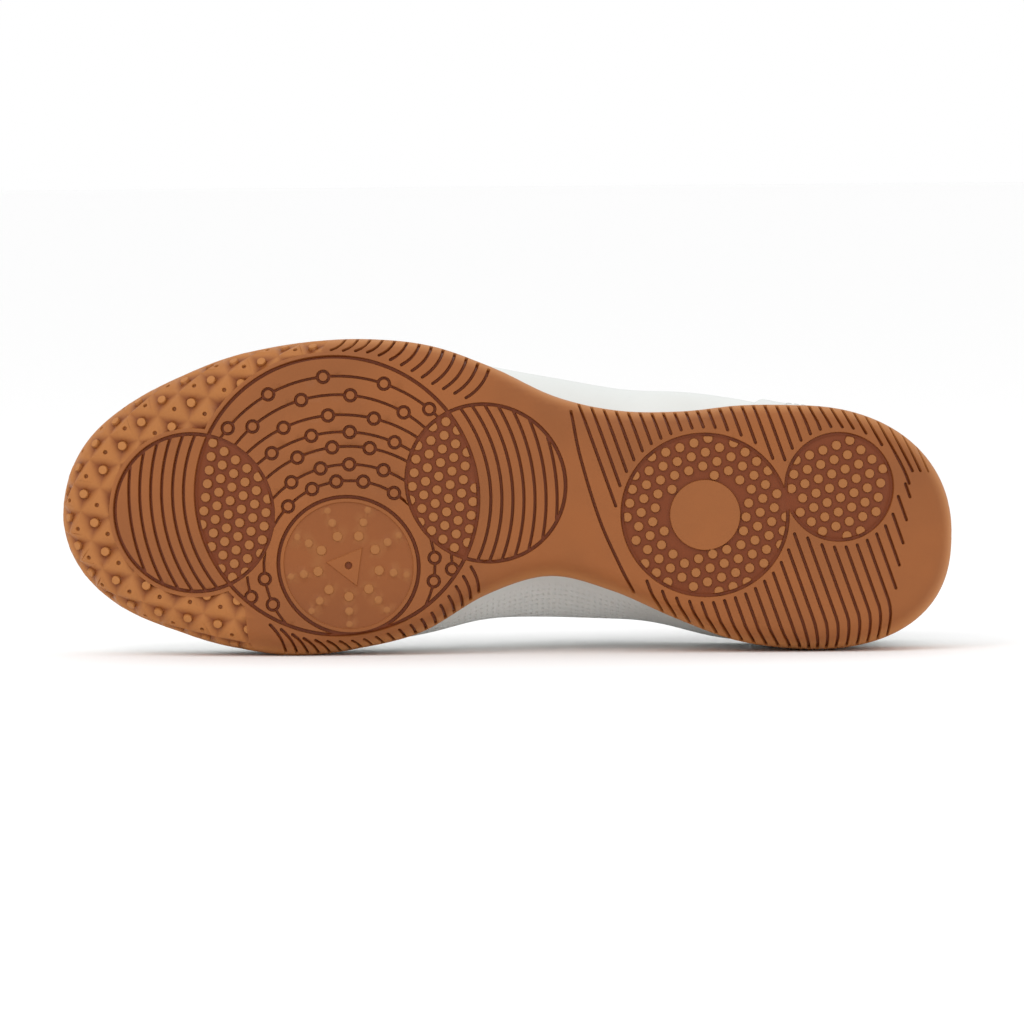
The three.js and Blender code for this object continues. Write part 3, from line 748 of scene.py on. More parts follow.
def stitch_tree():
    """Geometry Nodes: thread stitches laid end to end along an edge."""
    tree = bpy.data.node_groups.new("stitches_along_edge", "GeometryNodeTree")
    inputs = {}
    for name, kind in (("Geometry", "Geometry"), ("Pitch", "Float"), ("Length", "Float"), ("Width", "Float"),
                       ("Thread", "Material")):
        socket = tree.interface.new_socket(name, in_out="INPUT", socket_type="NodeSocket" + kind)
        inputs[name] = socket.identifier
    tree.interface.new_socket("Geometry", in_out="OUTPUT", socket_type="NodeSocketGeometry")

    def add(kind, **settings):
        node = tree.nodes.new(kind)
        for key, value in settings.items():
            setattr(node, key, value)
        return node

    link = tree.links.new
    source, result = add("NodeGroupInput"), add("NodeGroupOutput")
    curve = add("GeometryNodeMeshToCurve")
    spaced = add("GeometryNodeResampleCurve", mode="LENGTH")
    tangent = add("GeometryNodeInputTangent")
    turn = add("FunctionNodeAlignRotationToVector", axis="Z")
    ball = add("GeometryNodeMeshUVSphere")
    ball.inputs["Segments"].default_value, ball.inputs["Rings"].default_value = 7, 6
    ball.inputs["Radius"].default_value = 0.5
    size = add("ShaderNodeCombineXYZ")
    stitch = add("GeometryNodeTransform")
    placed = add("GeometryNodeInstanceOnPoints")
    real = add("GeometryNodeRealizeInstances")
    paint = add("GeometryNodeSetMaterial")
    link(source.outputs["Geometry"], curve.inputs["Mesh"])
    link(curve.outputs["Curve"], spaced.inputs["Curve"])
    link(source.outputs["Pitch"], spaced.inputs["Length"])
    link(tangent.outputs["Tangent"], turn.inputs["Vector"])
    for axis, name in zip("XYZ", ("Width", "Width", "Length")):
        link(source.outputs[name], size.inputs[axis])
    link(ball.outputs["Mesh"], stitch.inputs["Geometry"])
    link(size.outputs["Vector"], stitch.inputs["Scale"])
    link(spaced.outputs["Curve"], placed.inputs["Points"])
    link(stitch.outputs["Geometry"], placed.inputs["Instance"])
    link(turn.outputs["Rotation"], placed.inputs["Rotation"])
    link(placed.outputs["Instances"], real.inputs["Geometry"])
    link(real.outputs["Geometry"], paint.inputs["Geometry"])
    link(source.outputs["Thread"], paint.inputs["Material"])
    link(paint.outputs["Geometry"], result.inputs["Geometry"])
    return tree, inputs


def sew(name, lines, thread):
    """One piece of stitches along several lines of shoe points."""
    points, edges = [], []
    for line in lines:
        first = len(points)
        points += dense(line, 1.0).tolist()
        edges += [(k, k + 1) for k in range(first, len(points) - 1)]
    mesh = bpy.data.meshes.new(name + "_path")
    mesh.from_pydata(to_frame(points).tolist(), edges, [])
    path = in_scene(name + "_path", mesh)
    tree, sockets = stitch_tree()
    nodes = path.modifiers.new("stitches", "NODES")
    nodes.node_group = tree
    for key, value in (("Pitch", STITCH_PITCH * MM), ("Length", STITCH_LENGTH * MM), ("Width", STITCH_WIDTH * MM),
                       ("Thread", thread)):
        nodes[sockets[key]] = value
    made = baked(path)
    made.name = name
    made.shade_smooth()
    return finish_piece(made, name, thread)


# The tread's relief, drawn in plan: grooves, rings and sunk fields with studs standing in them

DEPTH = 1.2
RING_WIDTH = 1.3
GROOVE_WIDTH = 1.1
SLOPE = 0.26
STUD_RADIUS = 1.43
BEAD_RADIUS = 1.35
PLAIN_BAND = 1.8
PITCH = 10
LATTICE_TURN = radians(7.4)
LATTICE_START = np.array([0.879 * LENGTH, 0.277 * BALL])
PIT_DEPTH = 1.45
PYRAMID_TOP = 1.2
PIT_FLOOR = 1.8
PIT_STUD_RADIUS = 1.35
PYRAMIDS_REAR = 200
SIDE_PYRAMIDS = 15
PITS_FROM = {-1: ((228.4, -22), (227.2, -31)), 1: ((208, 40), (204.5, 60))}
FIELD_DEPTH = 0.85 * DEPTH
DISH_DEPTH = 0.4

# Points round each ring
RINGS = {"forefoot": 180, "toe": 108, "waist": 108, "pivot": 96, "heel": 110, "heel_tip": 76}

# The parallel grooves of the heel, with the values that differ between the outer side, 1, and the inner one, -1.
# Each splits into its outer and inner half where it is farthest in, and behind "tip" at one place across.
HEEL_LINES = {
    "turn": radians(68.4), "count": 31, "start": np.array([100.86, -23.15]), "clear": 2.2,
    "spacing": {1: 3.52, -1: 3.56}, "aside": {1: 0.0, -1: 1.25}, "tip": 26, "tip_split": 17.3,
    "end": 3.2,
}

# Slanted borders where those grooves stop before the heel's end, counted up to a place across the shoe
STOPS = {
    -1: [{"x": 14.6, "y": 9.5, "slope": -0.125, "until": 17}],
    1: [{"x": 14.6, "y": 9.5, "slope": -0.125, "until": 17}, {"x": 15.2, "y": 21.4, "slope": 0.4, "until": 21.4}],
}

# How the grooves bend over the rounded edge: pressed in by a share of what lies outside a limit, and on the
# inner side swept towards the toe
PRESSED = {1: 0.38, -1: 0.28}
PRESS_LIMIT = 5
TIP_PRESS_LIMIT = 8
SWEEP = 4.4
SWEEP_LIMIT = 9

# Sunk fields of small studs: a circle, another that bounds it, one stud's place and the two steps between studs
FIELDS = [
    {"inside": ("toe", "forefoot"), "start": (232.97, 9.36), "steps": ((0.44, -4.40), (-4.20, 1.78))},
    {"inside": ("waist", "forefoot"), "start": (165.9, 19.37), "steps": ((0.44, -4.40), (-4.20, 1.78))},
    {"inside": ("heel",), "start": (96.31, 6.97), "steps": ((0.70, -4.50), (-4.49, 1.64))},
    {"inside": ("heel_tip",), "start": (39.24, 24.31), "steps": ((0.60, -4.63), (-4.27, 1.71))},
]

# Arcs of beads between the circles: centre, radius, and the beads' directions from the pivot in degrees
ARCS = [
    {"centre": (194.2, -14.9), "radius": 27.6, "beads": (42.5, 62.7, 79.9, 98.2, 120.3, 173.1, 188.6, -11, -29.1)},
    {"centre": (194.2, -15.2), "radius": 33.1, "beads": (53.7, 72.1, 88.6, 108.4, 180.2, -19.8)},
    {"centre": (194.5, -15.4), "radius": 39.1, "beads": (62.8, 80.3, 98.4)},
    {"centre": (196.2, -13.9), "radius": 42.2, "beads": (53.8, 72.2, 88.7, 108.7)},
    {"centre": (196.8, -10.3), "radius": 44.1, "beads": (62.9, 80.4, 98.0)},
    {"centre": (198.3, -2.1), "radius": 42.3, "beads": (53.5, 72.2, 88.8, 108.0)},
    {"centre": (198.4, 0.1), "radius": 46.1, "beads": (46.8, 63.0, 80.5, 99.2, 115.5)},
]

# The ring round each bead: radius, width and points
BEAD_RING = (1.87, 1.1, 14)

# Direction of the first ray of studs on the pivot's disc
RAYS_FROM = radians(180 - 110.9 - 1.8)

STRIPES = {"toe": np.arange(6) * 3.53 + 3.93, "waist": np.arange(7) * 3.53 + 3.97}


def polygon_round(centre, radius, count, name=""):
    turn = np.arange(count) * 2 * pi / count
    return np.asarray(centre) + radius * np.stack([np.cos(turn), np.sin(turn)], -1) @ stretched(name)


def stretched(name, back=False):
    """The matrix that makes a true circle into the slightly long one that is drawn, or the other way."""
    share, direction = STRETCH.get(name, (0, 0))
    way = np.array([cos(radians(direction)), sin(radians(direction))])
    matrix = np.eye(2) + share * (2 * np.outer(way, way) - np.eye(2))
    return np.linalg.inv(matrix) if back else matrix


def to_circle(points, name, grow=0.0):
    centre, radius = circle(name)
    return np.linalg.norm((points - centre) @ stretched(name, True), axis=-1) - radius - grow


class Groove:
    """A groove along a line, with sloped sides and round ends."""

    def __init__(self, line, width=GROOVE_WIDTH, depth=DEPTH):
        self.line, self.depth = np.asarray(line, float), depth
        self.top, self.floor = width / 2, width / 2 - SLOPE

    def depths(self, points):
        a, b = self.line[:-1], self.line[1:]
        span = b - a
        along = ((points[:, None] - a) * span).sum(2) / np.maximum((span**2).sum(1), 1e-9)
        near = a + np.clip(along, 0, 1)[..., None] * span
        distance = np.linalg.norm(points[:, None] - near, axis=2).min(1)
        return self.depth * np.clip((self.top - distance) / SLOPE, 0, 1)

    def outlines(self):
        span = np.gradient(self.line, axis=0)
        span /= np.linalg.norm(span, axis=1, keepdims=True)
        square = np.stack([-span[:, 1], span[:, 0]], -1)
        for half in (self.top, self.floor):
            caps = []
            for end, sign in ((-1, 1), (0, -1)):
                turn = np.linspace(pi / 2, -pi / 2, 5)[1:-1]
                caps.append(self.line[end] + half * (
                    np.sin(turn)[:, None] * square[end] * sign + np.cos(turn)[:, None] * span[end] * sign))
            yield np.vstack([self.line + half * square, caps[0], (self.line - half * square)[::-1], caps[1]])

    def box(self):
        return self.line.min(0) - self.top, self.line.max(0) + self.top


class Ring:
    """A round groove."""

    def __init__(self, centre, radius, width, count, depth=DEPTH, name=""):
        self.centre, self.radius, self.count, self.depth = np.asarray(centre), radius, count, depth
        self.top, self.floor, self.name = width / 2, width / 2 - SLOPE, name

    def depths(self, points):
        reach = np.linalg.norm((points - self.centre) @ stretched(self.name, True), axis=1)
        return self.depth * np.clip((self.top - np.abs(reach - self.radius)) / SLOPE, 0, 1)

    def outlines(self):
        for half in (self.top, self.floor, -self.floor, -self.top):
            if self.radius + half > 0.05:
                yield polygon_round(self.centre, self.radius + half, self.count, self.name)

    def box(self):
        reach = 1.03 * self.radius + self.top
        return self.centre - reach, self.centre + reach


class Pit:
    """A sunk polygon with sloped sides, whose corners run anticlockwise."""

    def __init__(self, corners, depth=DEPTH):
        self.corners, self.depth = np.asarray(corners, float), depth
        side = np.roll(self.corners, -1, axis=0) - self.corners
        side /= np.linalg.norm(side, axis=1, keepdims=True)
        self.inward = np.stack([-side[:, 1], side[:, 0]], -1)

    def inside(self, points):
        return ((points[:, None] - self.corners) * self.inward).sum(2).min(1)

    def depths(self, points):
        return self.depth * np.clip(self.inside(points) / SLOPE, 0, 1)

    def outlines(self):
        middle = self.corners.mean(0)
        reach = self.inside(middle[None])[0]
        for inset in (0, SLOPE):
            yield middle + (self.corners - middle) * (1 - inset / reach)

    def box(self):
        return self.corners.min(0), self.corners.max(0)


class Field(Pit):
    """A sunk field within one circle, or within two where they overlap."""

    def __init__(self, names, depth=DEPTH, grow=0.0):
        self.names, self.depth, self.grow = names, depth, grow

    def inside(self, points):
        return -np.max([to_circle(points, name, self.grow) for name in self.names], axis=0)

    def outlines(self):
        for inset in (0, SLOPE):
            parts = []
            for name in self.names:
                centre, radius = circle(name)
                rim = polygon_round(centre, radius + self.grow - inset, 110, name)
                parts.append(rim[self.inside(rim) > inset - 0.05])
            ring = np.vstack(parts)
            middle = ring.mean(0)
            yield ring[np.argsort(np.arctan2(*(ring - middle).T[::-1]))]

    def box(self):
        centre, radius = circle(self.names[0])
        return centre - 1.05 * radius, centre + 1.05 * radius


class Pyramids:
    """Low pyramids with a pit between every three of them, ahead of the plain bands round the front circles."""

    def __init__(self):
        self.reach = PITCH / sqrt(3)
        self.steps = [PITCH * np.array([cos(turn), sin(turn)]) for turn in (LATTICE_TURN, LATTICE_TURN + pi / 3)]
        self.down = [LATTICE_TURN - pi / 2 + k * 2 * pi / 3 for k in range(3)]
        self.corners = np.array([[cos(turn), sin(turn)] for turn in self.down])

    def cells(self):
        """Centres of the pits, each with the top of the pyramid beside it."""
        for i in range(-15, 16):
            for j in range(-15, 16):
                spot = LATTICE_START + i * self.steps[0] + j * self.steps[1]
                near = spot[0] > PYRAMIDS_REAR - PITCH and self.room(spot[None])[0] > -8
                if near and inset_of(spot[None])[0][0] > EDGE_INSET - 8:
                    yield spot, spot - self.reach * self.corners[0]

    def room(self, points):
        """How far points lie inside the pattern's borders."""
        bands = np.minimum(to_circle(points, "forefoot", PLAIN_BAND), to_circle(points, "toe", PLAIN_BAND))
        for side, (one, two) in PITS_FROM.items():
            one, two = np.array(one), np.array(two)
            along = (two - one) / np.linalg.norm(two - one)
            ahead = ((points - one) @ np.array([along[1], -along[0]])) * side
            bands = np.where(points[:, 1] * side > SIDE_PYRAMIDS, np.minimum(bands, ahead), bands)
        return np.minimum(bands, points[:, 0] - PYRAMIDS_REAR)

    def depths(self, points):
        normals = -np.roll(self.corners, 1, axis=0)
        height = PITCH * sqrt(3) / 2
        share = ((points - LATTICE_START) @ normals.T / height - 1 / 3) % 1.0
        pit = np.min(1 - share, axis=1) * height
        pyramid = np.min(share, axis=1) * height
        inside = np.where(share.sum(1) > 1.5, pit, -pyramid)
        depth = PIT_DEPTH * np.clip((inside + PYRAMID_TOP) / (PYRAMID_TOP + PIT_FLOOR), 0, 1)
        return np.minimum(depth, PIT_DEPTH * np.clip(self.room(points) / SLOPE, 0, 1))

    def lines(self):
        """The facets' edges and the borders, as pairs of points."""
        pairs = []
        middle = self.reach / 2
        for spot, top in self.cells():
            floor = spot + 2 * (middle - PIT_FLOOR) * self.corners
            roof = top - 2 * (middle - PYRAMID_TOP) * self.corners
            for ring, foot in ((floor, spot + self.reach * self.corners), (roof, top - self.reach * self.corners)):
                for k in range(3):
                    half = (ring[k] + foot[k]) / 2
                    pairs += [(ring[k], ring[(k + 1) % 3]), (ring[k], half), (half, foot[k])]
        for name in ("forefoot", "toe"):
            for grow in (PLAIN_BAND, PLAIN_BAND + SLOPE):
                rim = polygon_round(circle(name)[0], circle(name)[1] + grow, 150, name)
                pairs += list(zip(rim, np.roll(rim, -1, axis=0)))
        for one, two in PITS_FROM.values():
            one, two = np.array(one, float), np.array(two, float)
            for aside in (0, SLOPE):
                line = dense(np.array([mix(one, two, -1.5), mix(one, two, 2.5)]) + (aside, 0), 1.5)
                pairs += list(zip(line, line[1:]))
        pairs = np.array(pairs)
        room = self.room(pairs.reshape(-1, 2)).reshape(-1, 2)
        inset = inset_of(pairs.reshape(-1, 2))[0].reshape(-1, 2)
        return pairs[(room.max(1) > -0.3) & (inset.min(1) > EDGE_INSET + 0.35)]


class Stud:
    """A round or polygonal stud that stands in a recess, with sloped sides and a domed top."""

    def __init__(self, centre, radius, base, count=10, rise=DEPTH):
        self.centre, self.radius, self.base, self.count, self.rise = np.asarray(centre), radius, base, count, rise
        # lit is how much painted highlight the stud's top takes
        self.dome, self.lit = 0.12, 1.0

    def depths(self, points):
        distance = np.linalg.norm(points - self.centre, axis=1)
        side = np.clip((self.radius + SLOPE - distance) / SLOPE, 0, 1)
        dome = self.dome * (1 - np.clip(distance / self.radius, 0, 1) ** 2) - self.dome
        return np.where(side > 0, self.base - self.rise * side - dome * (side >= 1), 1e3)

    def outlines(self):
        for radius in (self.radius + SLOPE, self.radius, 0.55 * self.radius):
            yield polygon_round(self.centre, radius, self.count)

    def box(self):
        return self.centre - self.radius - SLOPE, self.centre + self.radius + SLOPE


def runs(line, kept, spacing=2.2, shortest=1.5):
    """The stretches of a fine line that a test keeps, thinned to a spacing."""
    parts, start = [], None
    for k, good in enumerate(list(kept) + [False]):
        if good and start is None:
            start = k
        elif not good and start is not None:
            part = line[start:k]
            length = np.linalg.norm(np.diff(part, axis=0), axis=1).sum() if len(part) > 1 else 0
            if length > shortest:
                parts.append(dense(part, length / max(1, round(length / spacing)) * 0.999))
            start = None
    return parts


def plan(angle, inset):
    """Point of the tread's outline in plan, brought in or grown by an inset."""
    at, side = around(angle)
    return np.stack([lengthwise(at, inset), side * half_width(OUTLINE, at, side, inset)], -1)


def inset_of(points):
    """How far inside the outline plan points lie, below zero outside it, and each one's angle round the outline."""
    side = np.where(points[:, 1] >= 0, 1.0, -1.0)
    low, high = np.full(len(points), -12.0), np.full(len(points), 60.0)
    for _ in range(34):
        middle = (low + high) / 2
        at = (points[:, 0] - middle) / (LENGTH - 2 * middle)
        inside = (at > 0) & (at < 1)
        reach = np.where(inside, half_width(OUTLINE, np.clip(at, 0, 1), side, middle), -1)
        beyond = np.abs(points[:, 1]) > reach
        high, low = np.where(beyond, middle, high), np.where(beyond, low, middle)
    at = np.clip((points[:, 0] - low) / (LENGTH - 2 * low), 0, 1)
    return low, angle_at(at, side)


# The rounded edge is drawn unrolled: beyond EDGE_WIDTH from the outline the drawing goes on round the edge
QUARTER = np.linspace(0, pi / 2, 200)
QUARTER_LENGTH = np.r_[0, np.cumsum(np.hypot(*np.diff(
    np.stack([EDGE_WIDTH * np.sin(QUARTER), EDGE_HEIGHT * (1 - np.cos(QUARTER))]), axis=1)))]
WALL_PART = 1.6
DRAWN = QUARTER_LENGTH[-1] + WALL_PART
EDGE_INSET = EDGE_WIDTH - DRAWN


def tread_surface(points):
    """Points and outward directions on the plain tread for points of the unrolled drawing."""
    inset, angle = inset_of(points)
    spread = EDGE_WIDTH - inset
    at_flat = np.clip((points[:, 0] - EDGE_WIDTH) / (LENGTH - 2 * EDGE_WIDTH), 0, 1)
    slope = (tread_lift(at_flat + 1e-3) - tread_lift(at_flat - 1e-3)) / (2e-3 * LENGTH)
    flat = np.column_stack([points, tread_lift(at_flat)])
    flat_out = np.column_stack([slope, np.zeros(len(points)), -np.ones(len(points))])
    bend = np.interp(spread, QUARTER_LENGTH, QUARTER)
    above = np.maximum(0, spread - QUARTER_LENGTH[-1])
    at, _ = around(angle)
    edge = np.column_stack([plan(angle, EDGE_WIDTH * (1 - np.sin(bend))),
                            tread_lift(at) + EDGE_HEIGHT * (1 - np.cos(bend)) + above])
    run = plan(angle + 1e-3, 0) - plan(angle - 1e-3, 0)
    out = np.column_stack([run[:, 1], -run[:, 0]])
    out /= np.maximum(np.linalg.norm(out, axis=1, keepdims=True), 1e-9)
    edge_out = np.column_stack([out * (EDGE_HEIGHT * np.sin(bend))[:, None], -EDGE_WIDTH * np.cos(bend)])
    on_flat = (inset >= EDGE_WIDTH)[:, None]
    surface, normal = np.where(on_flat, flat, edge), np.where(on_flat, flat_out, edge_out)
    return surface, normal / np.linalg.norm(normal, axis=1, keepdims=True), inset


def photo_point(px, py):
    """A place on the tread for a pixel of the photograph, whose scale and slight turn are known from the sole."""
    turn, scale = radians(1.8), 0.32216
    x = (-cos(turn) * px - sin(turn) * py + 969.8057) * scale
    y = (sin(turn) * px - cos(turn) * py + 507.8001) * scale
    return x, y


def along_curve(points, count, power=1.0):
    """Evenly counted points on a smooth curve through a few given ones."""
    points = np.array(points, float)
    length = np.r_[0, np.cumsum(np.linalg.norm(np.diff(points, axis=0), axis=1))]
    rows = {"at": length / length[-1], "x": points[:, 0], "y": points[:, 1]}
    t = np.linspace(0, 1, count) ** power
    return np.stack([follow(rows, "x", t), follow(rows, "y", t)], -1)


# The first line of the waist runs from edge to edge
WAIST_LINE = [photo_point(*p) for p in ((571, 410), (580, 455), (600, 520), (620, 565), (634, 592))]


def swept(line, side):
    """A straight line in plan, bent where it runs over the rounded edge as the heel's mould bends it."""
    x = line[:, 0]
    inset, _ = inset_of(line)
    ahead, _ = inset_of(line + (0.05, 0))
    across, _ = inset_of(line + (0, 0.05))
    inward = np.column_stack([ahead - inset, across - inset])
    inward /= np.maximum(np.linalg.norm(inward, axis=1, keepdims=True), 1e-9)
    limit, share = PRESS_LIMIT, PRESSED[side]
    if side > 0:
        limit, share = mix(PRESS_LIMIT, TIP_PRESS_LIMIT, ease(45, 12, x)), share * ease(60, 42, x)
    pressed = line + inward * (share * np.maximum(0, limit - inset))[:, None]
    sweep = SWEEP * ease(54, 30, x) * (side < 0)
    bent = pressed.copy()
    for _ in range(10):
        depth, _ = inset_of(bent)
        push = sweep * (1 - np.clip(depth / SWEEP_LIMIT, 0, 1)) ** 1.6
        bent[:, 0] = mix(bent[:, 0], pressed[:, 0] + push, 0.5)
    return bent


def heel_lines():
    """The parallel grooves of the heel and the waist, the inner half a little aside from the outer one."""
    spec = HEEL_LINES
    direction = np.array([cos(spec["turn"]), sin(spec["turn"])])
    square = np.array([direction[1], -direction[0]])
    lines = []
    for side, k in [(side, k) for side in (1, -1) for k in range(1, spec["count"])]:
        start = spec["start"] - square * (spec["spacing"][side] * k + spec["aside"][side])
        line = start + direction * np.arange(-75, 110, 0.3)[:, None]
        inset, _ = inset_of(line)
        line, inset = line[inset > -9], inset[inset > -9]
        split = int(np.argmax(inset))
        if line[split, 0] < spec["tip"]:
            split = int(np.argmin(np.abs(line[:, 1] - spec["tip_split"])))
        half = swept(line[split:] if side > 0 else line[split::-1], side)
        half = half[inset_of(half)[0] > 0.08]
        if len(half) < 6:
            continue
        x, y = half.T
        kept = np.minimum(to_circle(half, "heel", spec["clear"]), to_circle(half, "heel_tip", spec["clear"])) > 0
        for stop in STOPS[side]:
            kept &= (x > stop["x"] + stop["slope"] * (y - stop["y"])) | (y > stop["until"])
        half = unroll(half)
        lines += runs(half, kept & (inset_of(half)[0] > EDGE_INSET + spec["end"]))
    return [*lines, unroll(along_curve(WAIST_LINE, 40))]


def side_lines(starts, ends, lean):
    """Short grooves over the edge beside the forefoot, between two curves of shoe points."""
    lines = []
    for start, end in zip(starts, ends):
        t = np.linspace(0, 1, 9)[:, None]
        line = mix(np.array(start), np.array(end), t)
        bow = np.array([end[1] - start[1], start[0] - end[0]]) * lean
        lines.append(line + bow * (t * (1 - t)) * 4)
    return lines


# Short grooves over the forefoot's rounded edge, as smooth curves of their inner and outer ends
OUTER_SIDE = {
    "count": 13, "lean": -0.1,
    "inner": [photo_point(*p) for p in ((331, 349), (371, 352), (405, 366), (435, 384), (466, 397))],
    "outer": [photo_point(*p) for p in ((346, 337), (388, 338), (429, 344), (464, 355), (489, 368))],
}
INNER_SIDE = {
    "count": 20, "lean": 0.08,
    "inner": [photo_point(*p) for p in ((270, 624), (311, 639), (373, 637), (432, 612), (471, 566))],
    "outer": [photo_point(*p) for p in ((286, 652), (321, 653), (384, 646), (442, 624), (479, 592))],
}


def fields():
    """The rings, and the sunk fields with their studs and the heel's round pad."""
    cuts = [Ring(*circle(name), RING_WIDTH, count, name=name) for name, count in RINGS.items()]
    studs = []
    for spec in FIELDS:
        cuts.append(Field(spec["inside"], FIELD_DEPTH))
        start, (one, two) = np.array(spec["start"]), np.array(spec["steps"])
        spots = np.array([start + i * one + j * two for i in range(-16, 17) for j in range(-16, 17)])
        inside = -np.max([to_circle(spots, name) for name in spec["inside"]], axis=0)
        if "heel" in spec["inside"]:
            inside = np.minimum(inside, to_circle(spots, "heel_pad", 1.2))
        studs += [Stud(spot, STUD_RADIUS, FIELD_DEPTH, 11, 0.8 * DEPTH) for spot in spots[inside > 0.35]]
    pad = Stud(*circle("heel_pad"), FIELD_DEPTH, 56, FIELD_DEPTH)
    # The heel's pad takes little painted highlight
    pad.dome, pad.lit = 0.0, 0.1
    return cuts, [*studs, pad]


def stripes():
    """Grooves round the forefoot's circle inside the toe's circle and the waist's."""
    centre, radius = circle("forefoot")
    cuts = []
    for name, steps in STRIPES.items():
        for step in steps:
            line = polygon_round(centre, radius + step, 900, "forefoot")
            line = np.roll(line, 450, axis=0) if name == "toe" else line
            cuts += [Groove(part) for part in runs(line, to_circle(line, name, -0.4) < 0)]
    return cuts, []


def bead_arcs():
    """Thin arcs between the circles, with a ringed bead wherever a ray from the pivot meets them."""
    pivot, _ = circle("pivot")
    cuts, studs = [], []
    for spec in ARCS:
        centre = np.array(spec["centre"])
        gap = pivot - centre
        line = np.roll(polygon_round(centre, spec["radius"], 1200), 300, axis=0)
        open_part = (to_circle(line, "forefoot", -0.4) < 0) & (to_circle(line, "toe", 0.4) > 0)
        open_part &= (to_circle(line, "waist", 0.4) > 0) & (to_circle(line, "pivot", 2.0) > 0)
        for direction in spec["beads"]:
            ray = np.array([cos(radians(direction)), sin(radians(direction))])
            bead = pivot + (-gap @ ray + sqrt((gap @ ray) ** 2 - gap @ gap + spec["radius"] ** 2)) * ray
            cuts.append(Ring(bead, *BEAD_RING))
            studs.append(Stud(bead, BEAD_RADIUS - 0.2, DEPTH, 12))
            open_part &= np.linalg.norm(line - bead, axis=1) > 1.9
        cuts += [Groove(part, 1.0) for part in runs(line, open_part, 2.0, 1.0)]
    return cuts, studs


def pivot_disc():
    """The pivot's shallow dish, the hole in its middle and its nine rays of small studs."""
    pivot, _ = circle("pivot")
    cuts = [Field(("pivot",), DISH_DEPTH, -1.6), Ring(pivot, 0, 2.6, 12, 0.9)]
    studs = []
    for ray in range(9):
        direction = RAYS_FROM + radians(40 * ray)
        for reach, radius, rise in ((10, 1.45, 0.5), (14.7, 1.2, 0.4), (18.9, 0.95, 0.25)):
            spot = pivot + reach * np.array([cos(direction), sin(direction)])
            studs.append(Stud(spot, radius, DISH_DEPTH, 12, rise))
    return cuts, studs


def pivot_triangle():
    turns = radians(6) + np.arange(3) * 2 * pi / 3
    return Pit(circle("pivot")[0] + 7.4 * np.stack([np.cos(turns), np.sin(turns)], -1))


def pit_studs(pyramids):
    """A stud in each pit of the toe's pattern and a pinhole in the top of each pyramid."""
    cuts, studs = [], []
    for spot, top in pyramids.cells():
        if pyramids.room(spot[None])[0] > -0.3 and inset_of(spot[None])[0][0] > EDGE_INSET + 2.4:
            studs.append(Stud(spot, PIT_STUD_RADIUS, PIT_DEPTH, 12, 0.95 * PIT_DEPTH))
        if pyramids.room(top[None])[0] > 1.0 and inset_of(top[None])[0][0] > EDGE_INSET + 1.8:
            cuts.append(Ring(top, 0, 1.6, 9, 0.9))
    return cuts, studs


def edge_grooves():
    """The grooves that run over the rounded edge, at the heel and beside the forefoot."""
    cuts = [Groove(line) for line in heel_lines()]
    for spec in (OUTER_SIDE, INNER_SIDE):
        starts, ends = (along_curve(spec[key], spec["count"]) for key in ("inner", "outer"))
        for line in side_lines(starts, ends, spec["lean"]):
            line = unroll(line)
            cuts += [Groove(part) for part in runs(line, inset_of(line)[0] > EDGE_INSET + 1.5, 1.6, 1.0)]
    return cuts, []


def tread_drawing():
    """Recesses of the tread and the studs that stand in them."""
    pyramids = Pyramids()
    cuts, studs = [], []
    for more in (fields(), stripes(), bead_arcs(), pivot_disc(), pit_studs(pyramids), edge_grooves()):
        cuts += more[0]
        studs += more[1]
    return cuts, studs, pivot_triangle(), pyramids


def unroll(line):
    """A line given by its places in plan, moved to where the unrolled drawing has them."""
    inset, angle = inset_of(line)
    bend = np.arcsin(np.clip((EDGE_WIDTH - inset) / EDGE_WIDTH, 0, 1))
    spread = np.interp(bend, QUARTER, QUARTER_LENGTH)
    drawn = plan(angle, EDGE_WIDTH - spread)
    return np.where((inset < EDGE_WIDTH)[:, None], drawn, line)


def relief_depths(points, cuts, studs, triangle, pyramids):
    """How deep the relief lies under the plain tread at each point of the drawing, and, for points on studs, how much
    painted highlight their tops take.
    """
    depth = pyramids.depths(points)
    raised = np.zeros(len(points))

    def near(shape):
        low, high = shape.box()
        return np.nonzero(((points > low - 0.01) & (points < high + 0.01)).all(1))[0]

    for cut in cuts:
        if isinstance(cut, Ring) and cut.radius > 5:
            continue
        chosen = near(cut)
        if len(chosen):
            depth[chosen] = np.maximum(depth[chosen], cut.depths(points[chosen]))
    chosen = near(triangle)
    inside = triangle.inside(points[chosen])
    solid = (inside > 0) & (depth[chosen] <= 0.5)
    level = np.minimum(depth[chosen], DISH_DEPTH * np.clip(1 - inside / SLOPE, 0, 1))
    depth[chosen] = np.where(solid, level, depth[chosen])
    for stud in studs:
        chosen = near(stud)
        if len(chosen):
            level = stud.depths(points[chosen])
            lit = stud.lit * np.clip(1 - level / DEPTH, 0, 1)
            raised[chosen] = np.where(level < depth[chosen], lit, raised[chosen])
            depth[chosen] = np.minimum(depth[chosen], level)
    for cut in cuts:
        if isinstance(cut, Ring) and cut.radius > 5:
            chosen = near(cut)
            rim = cut.depths(points[chosen])
            depth[chosen] = np.maximum(depth[chosen], rim)
            raised[chosen] *= 1 - rim / DEPTH
    return depth, raised


def outline_of(shapes):
    """Corner points and edges of many closed outlines."""
    points, edges = [], []
    for shape in shapes:
        for ring in shape.outlines():
            first, count = len(points), len(ring)
            points.extend(ring)
            edges.extend((first + k, first + (k + 1) % count) for k in range(count))
    return points, edges


SOLE_AROUND = 420
GRID = 2.6
EDGE_BANDS = (0.6, 2.2, 4.0, 6.0, 8.0, 9.6, 11.0, 12.4)


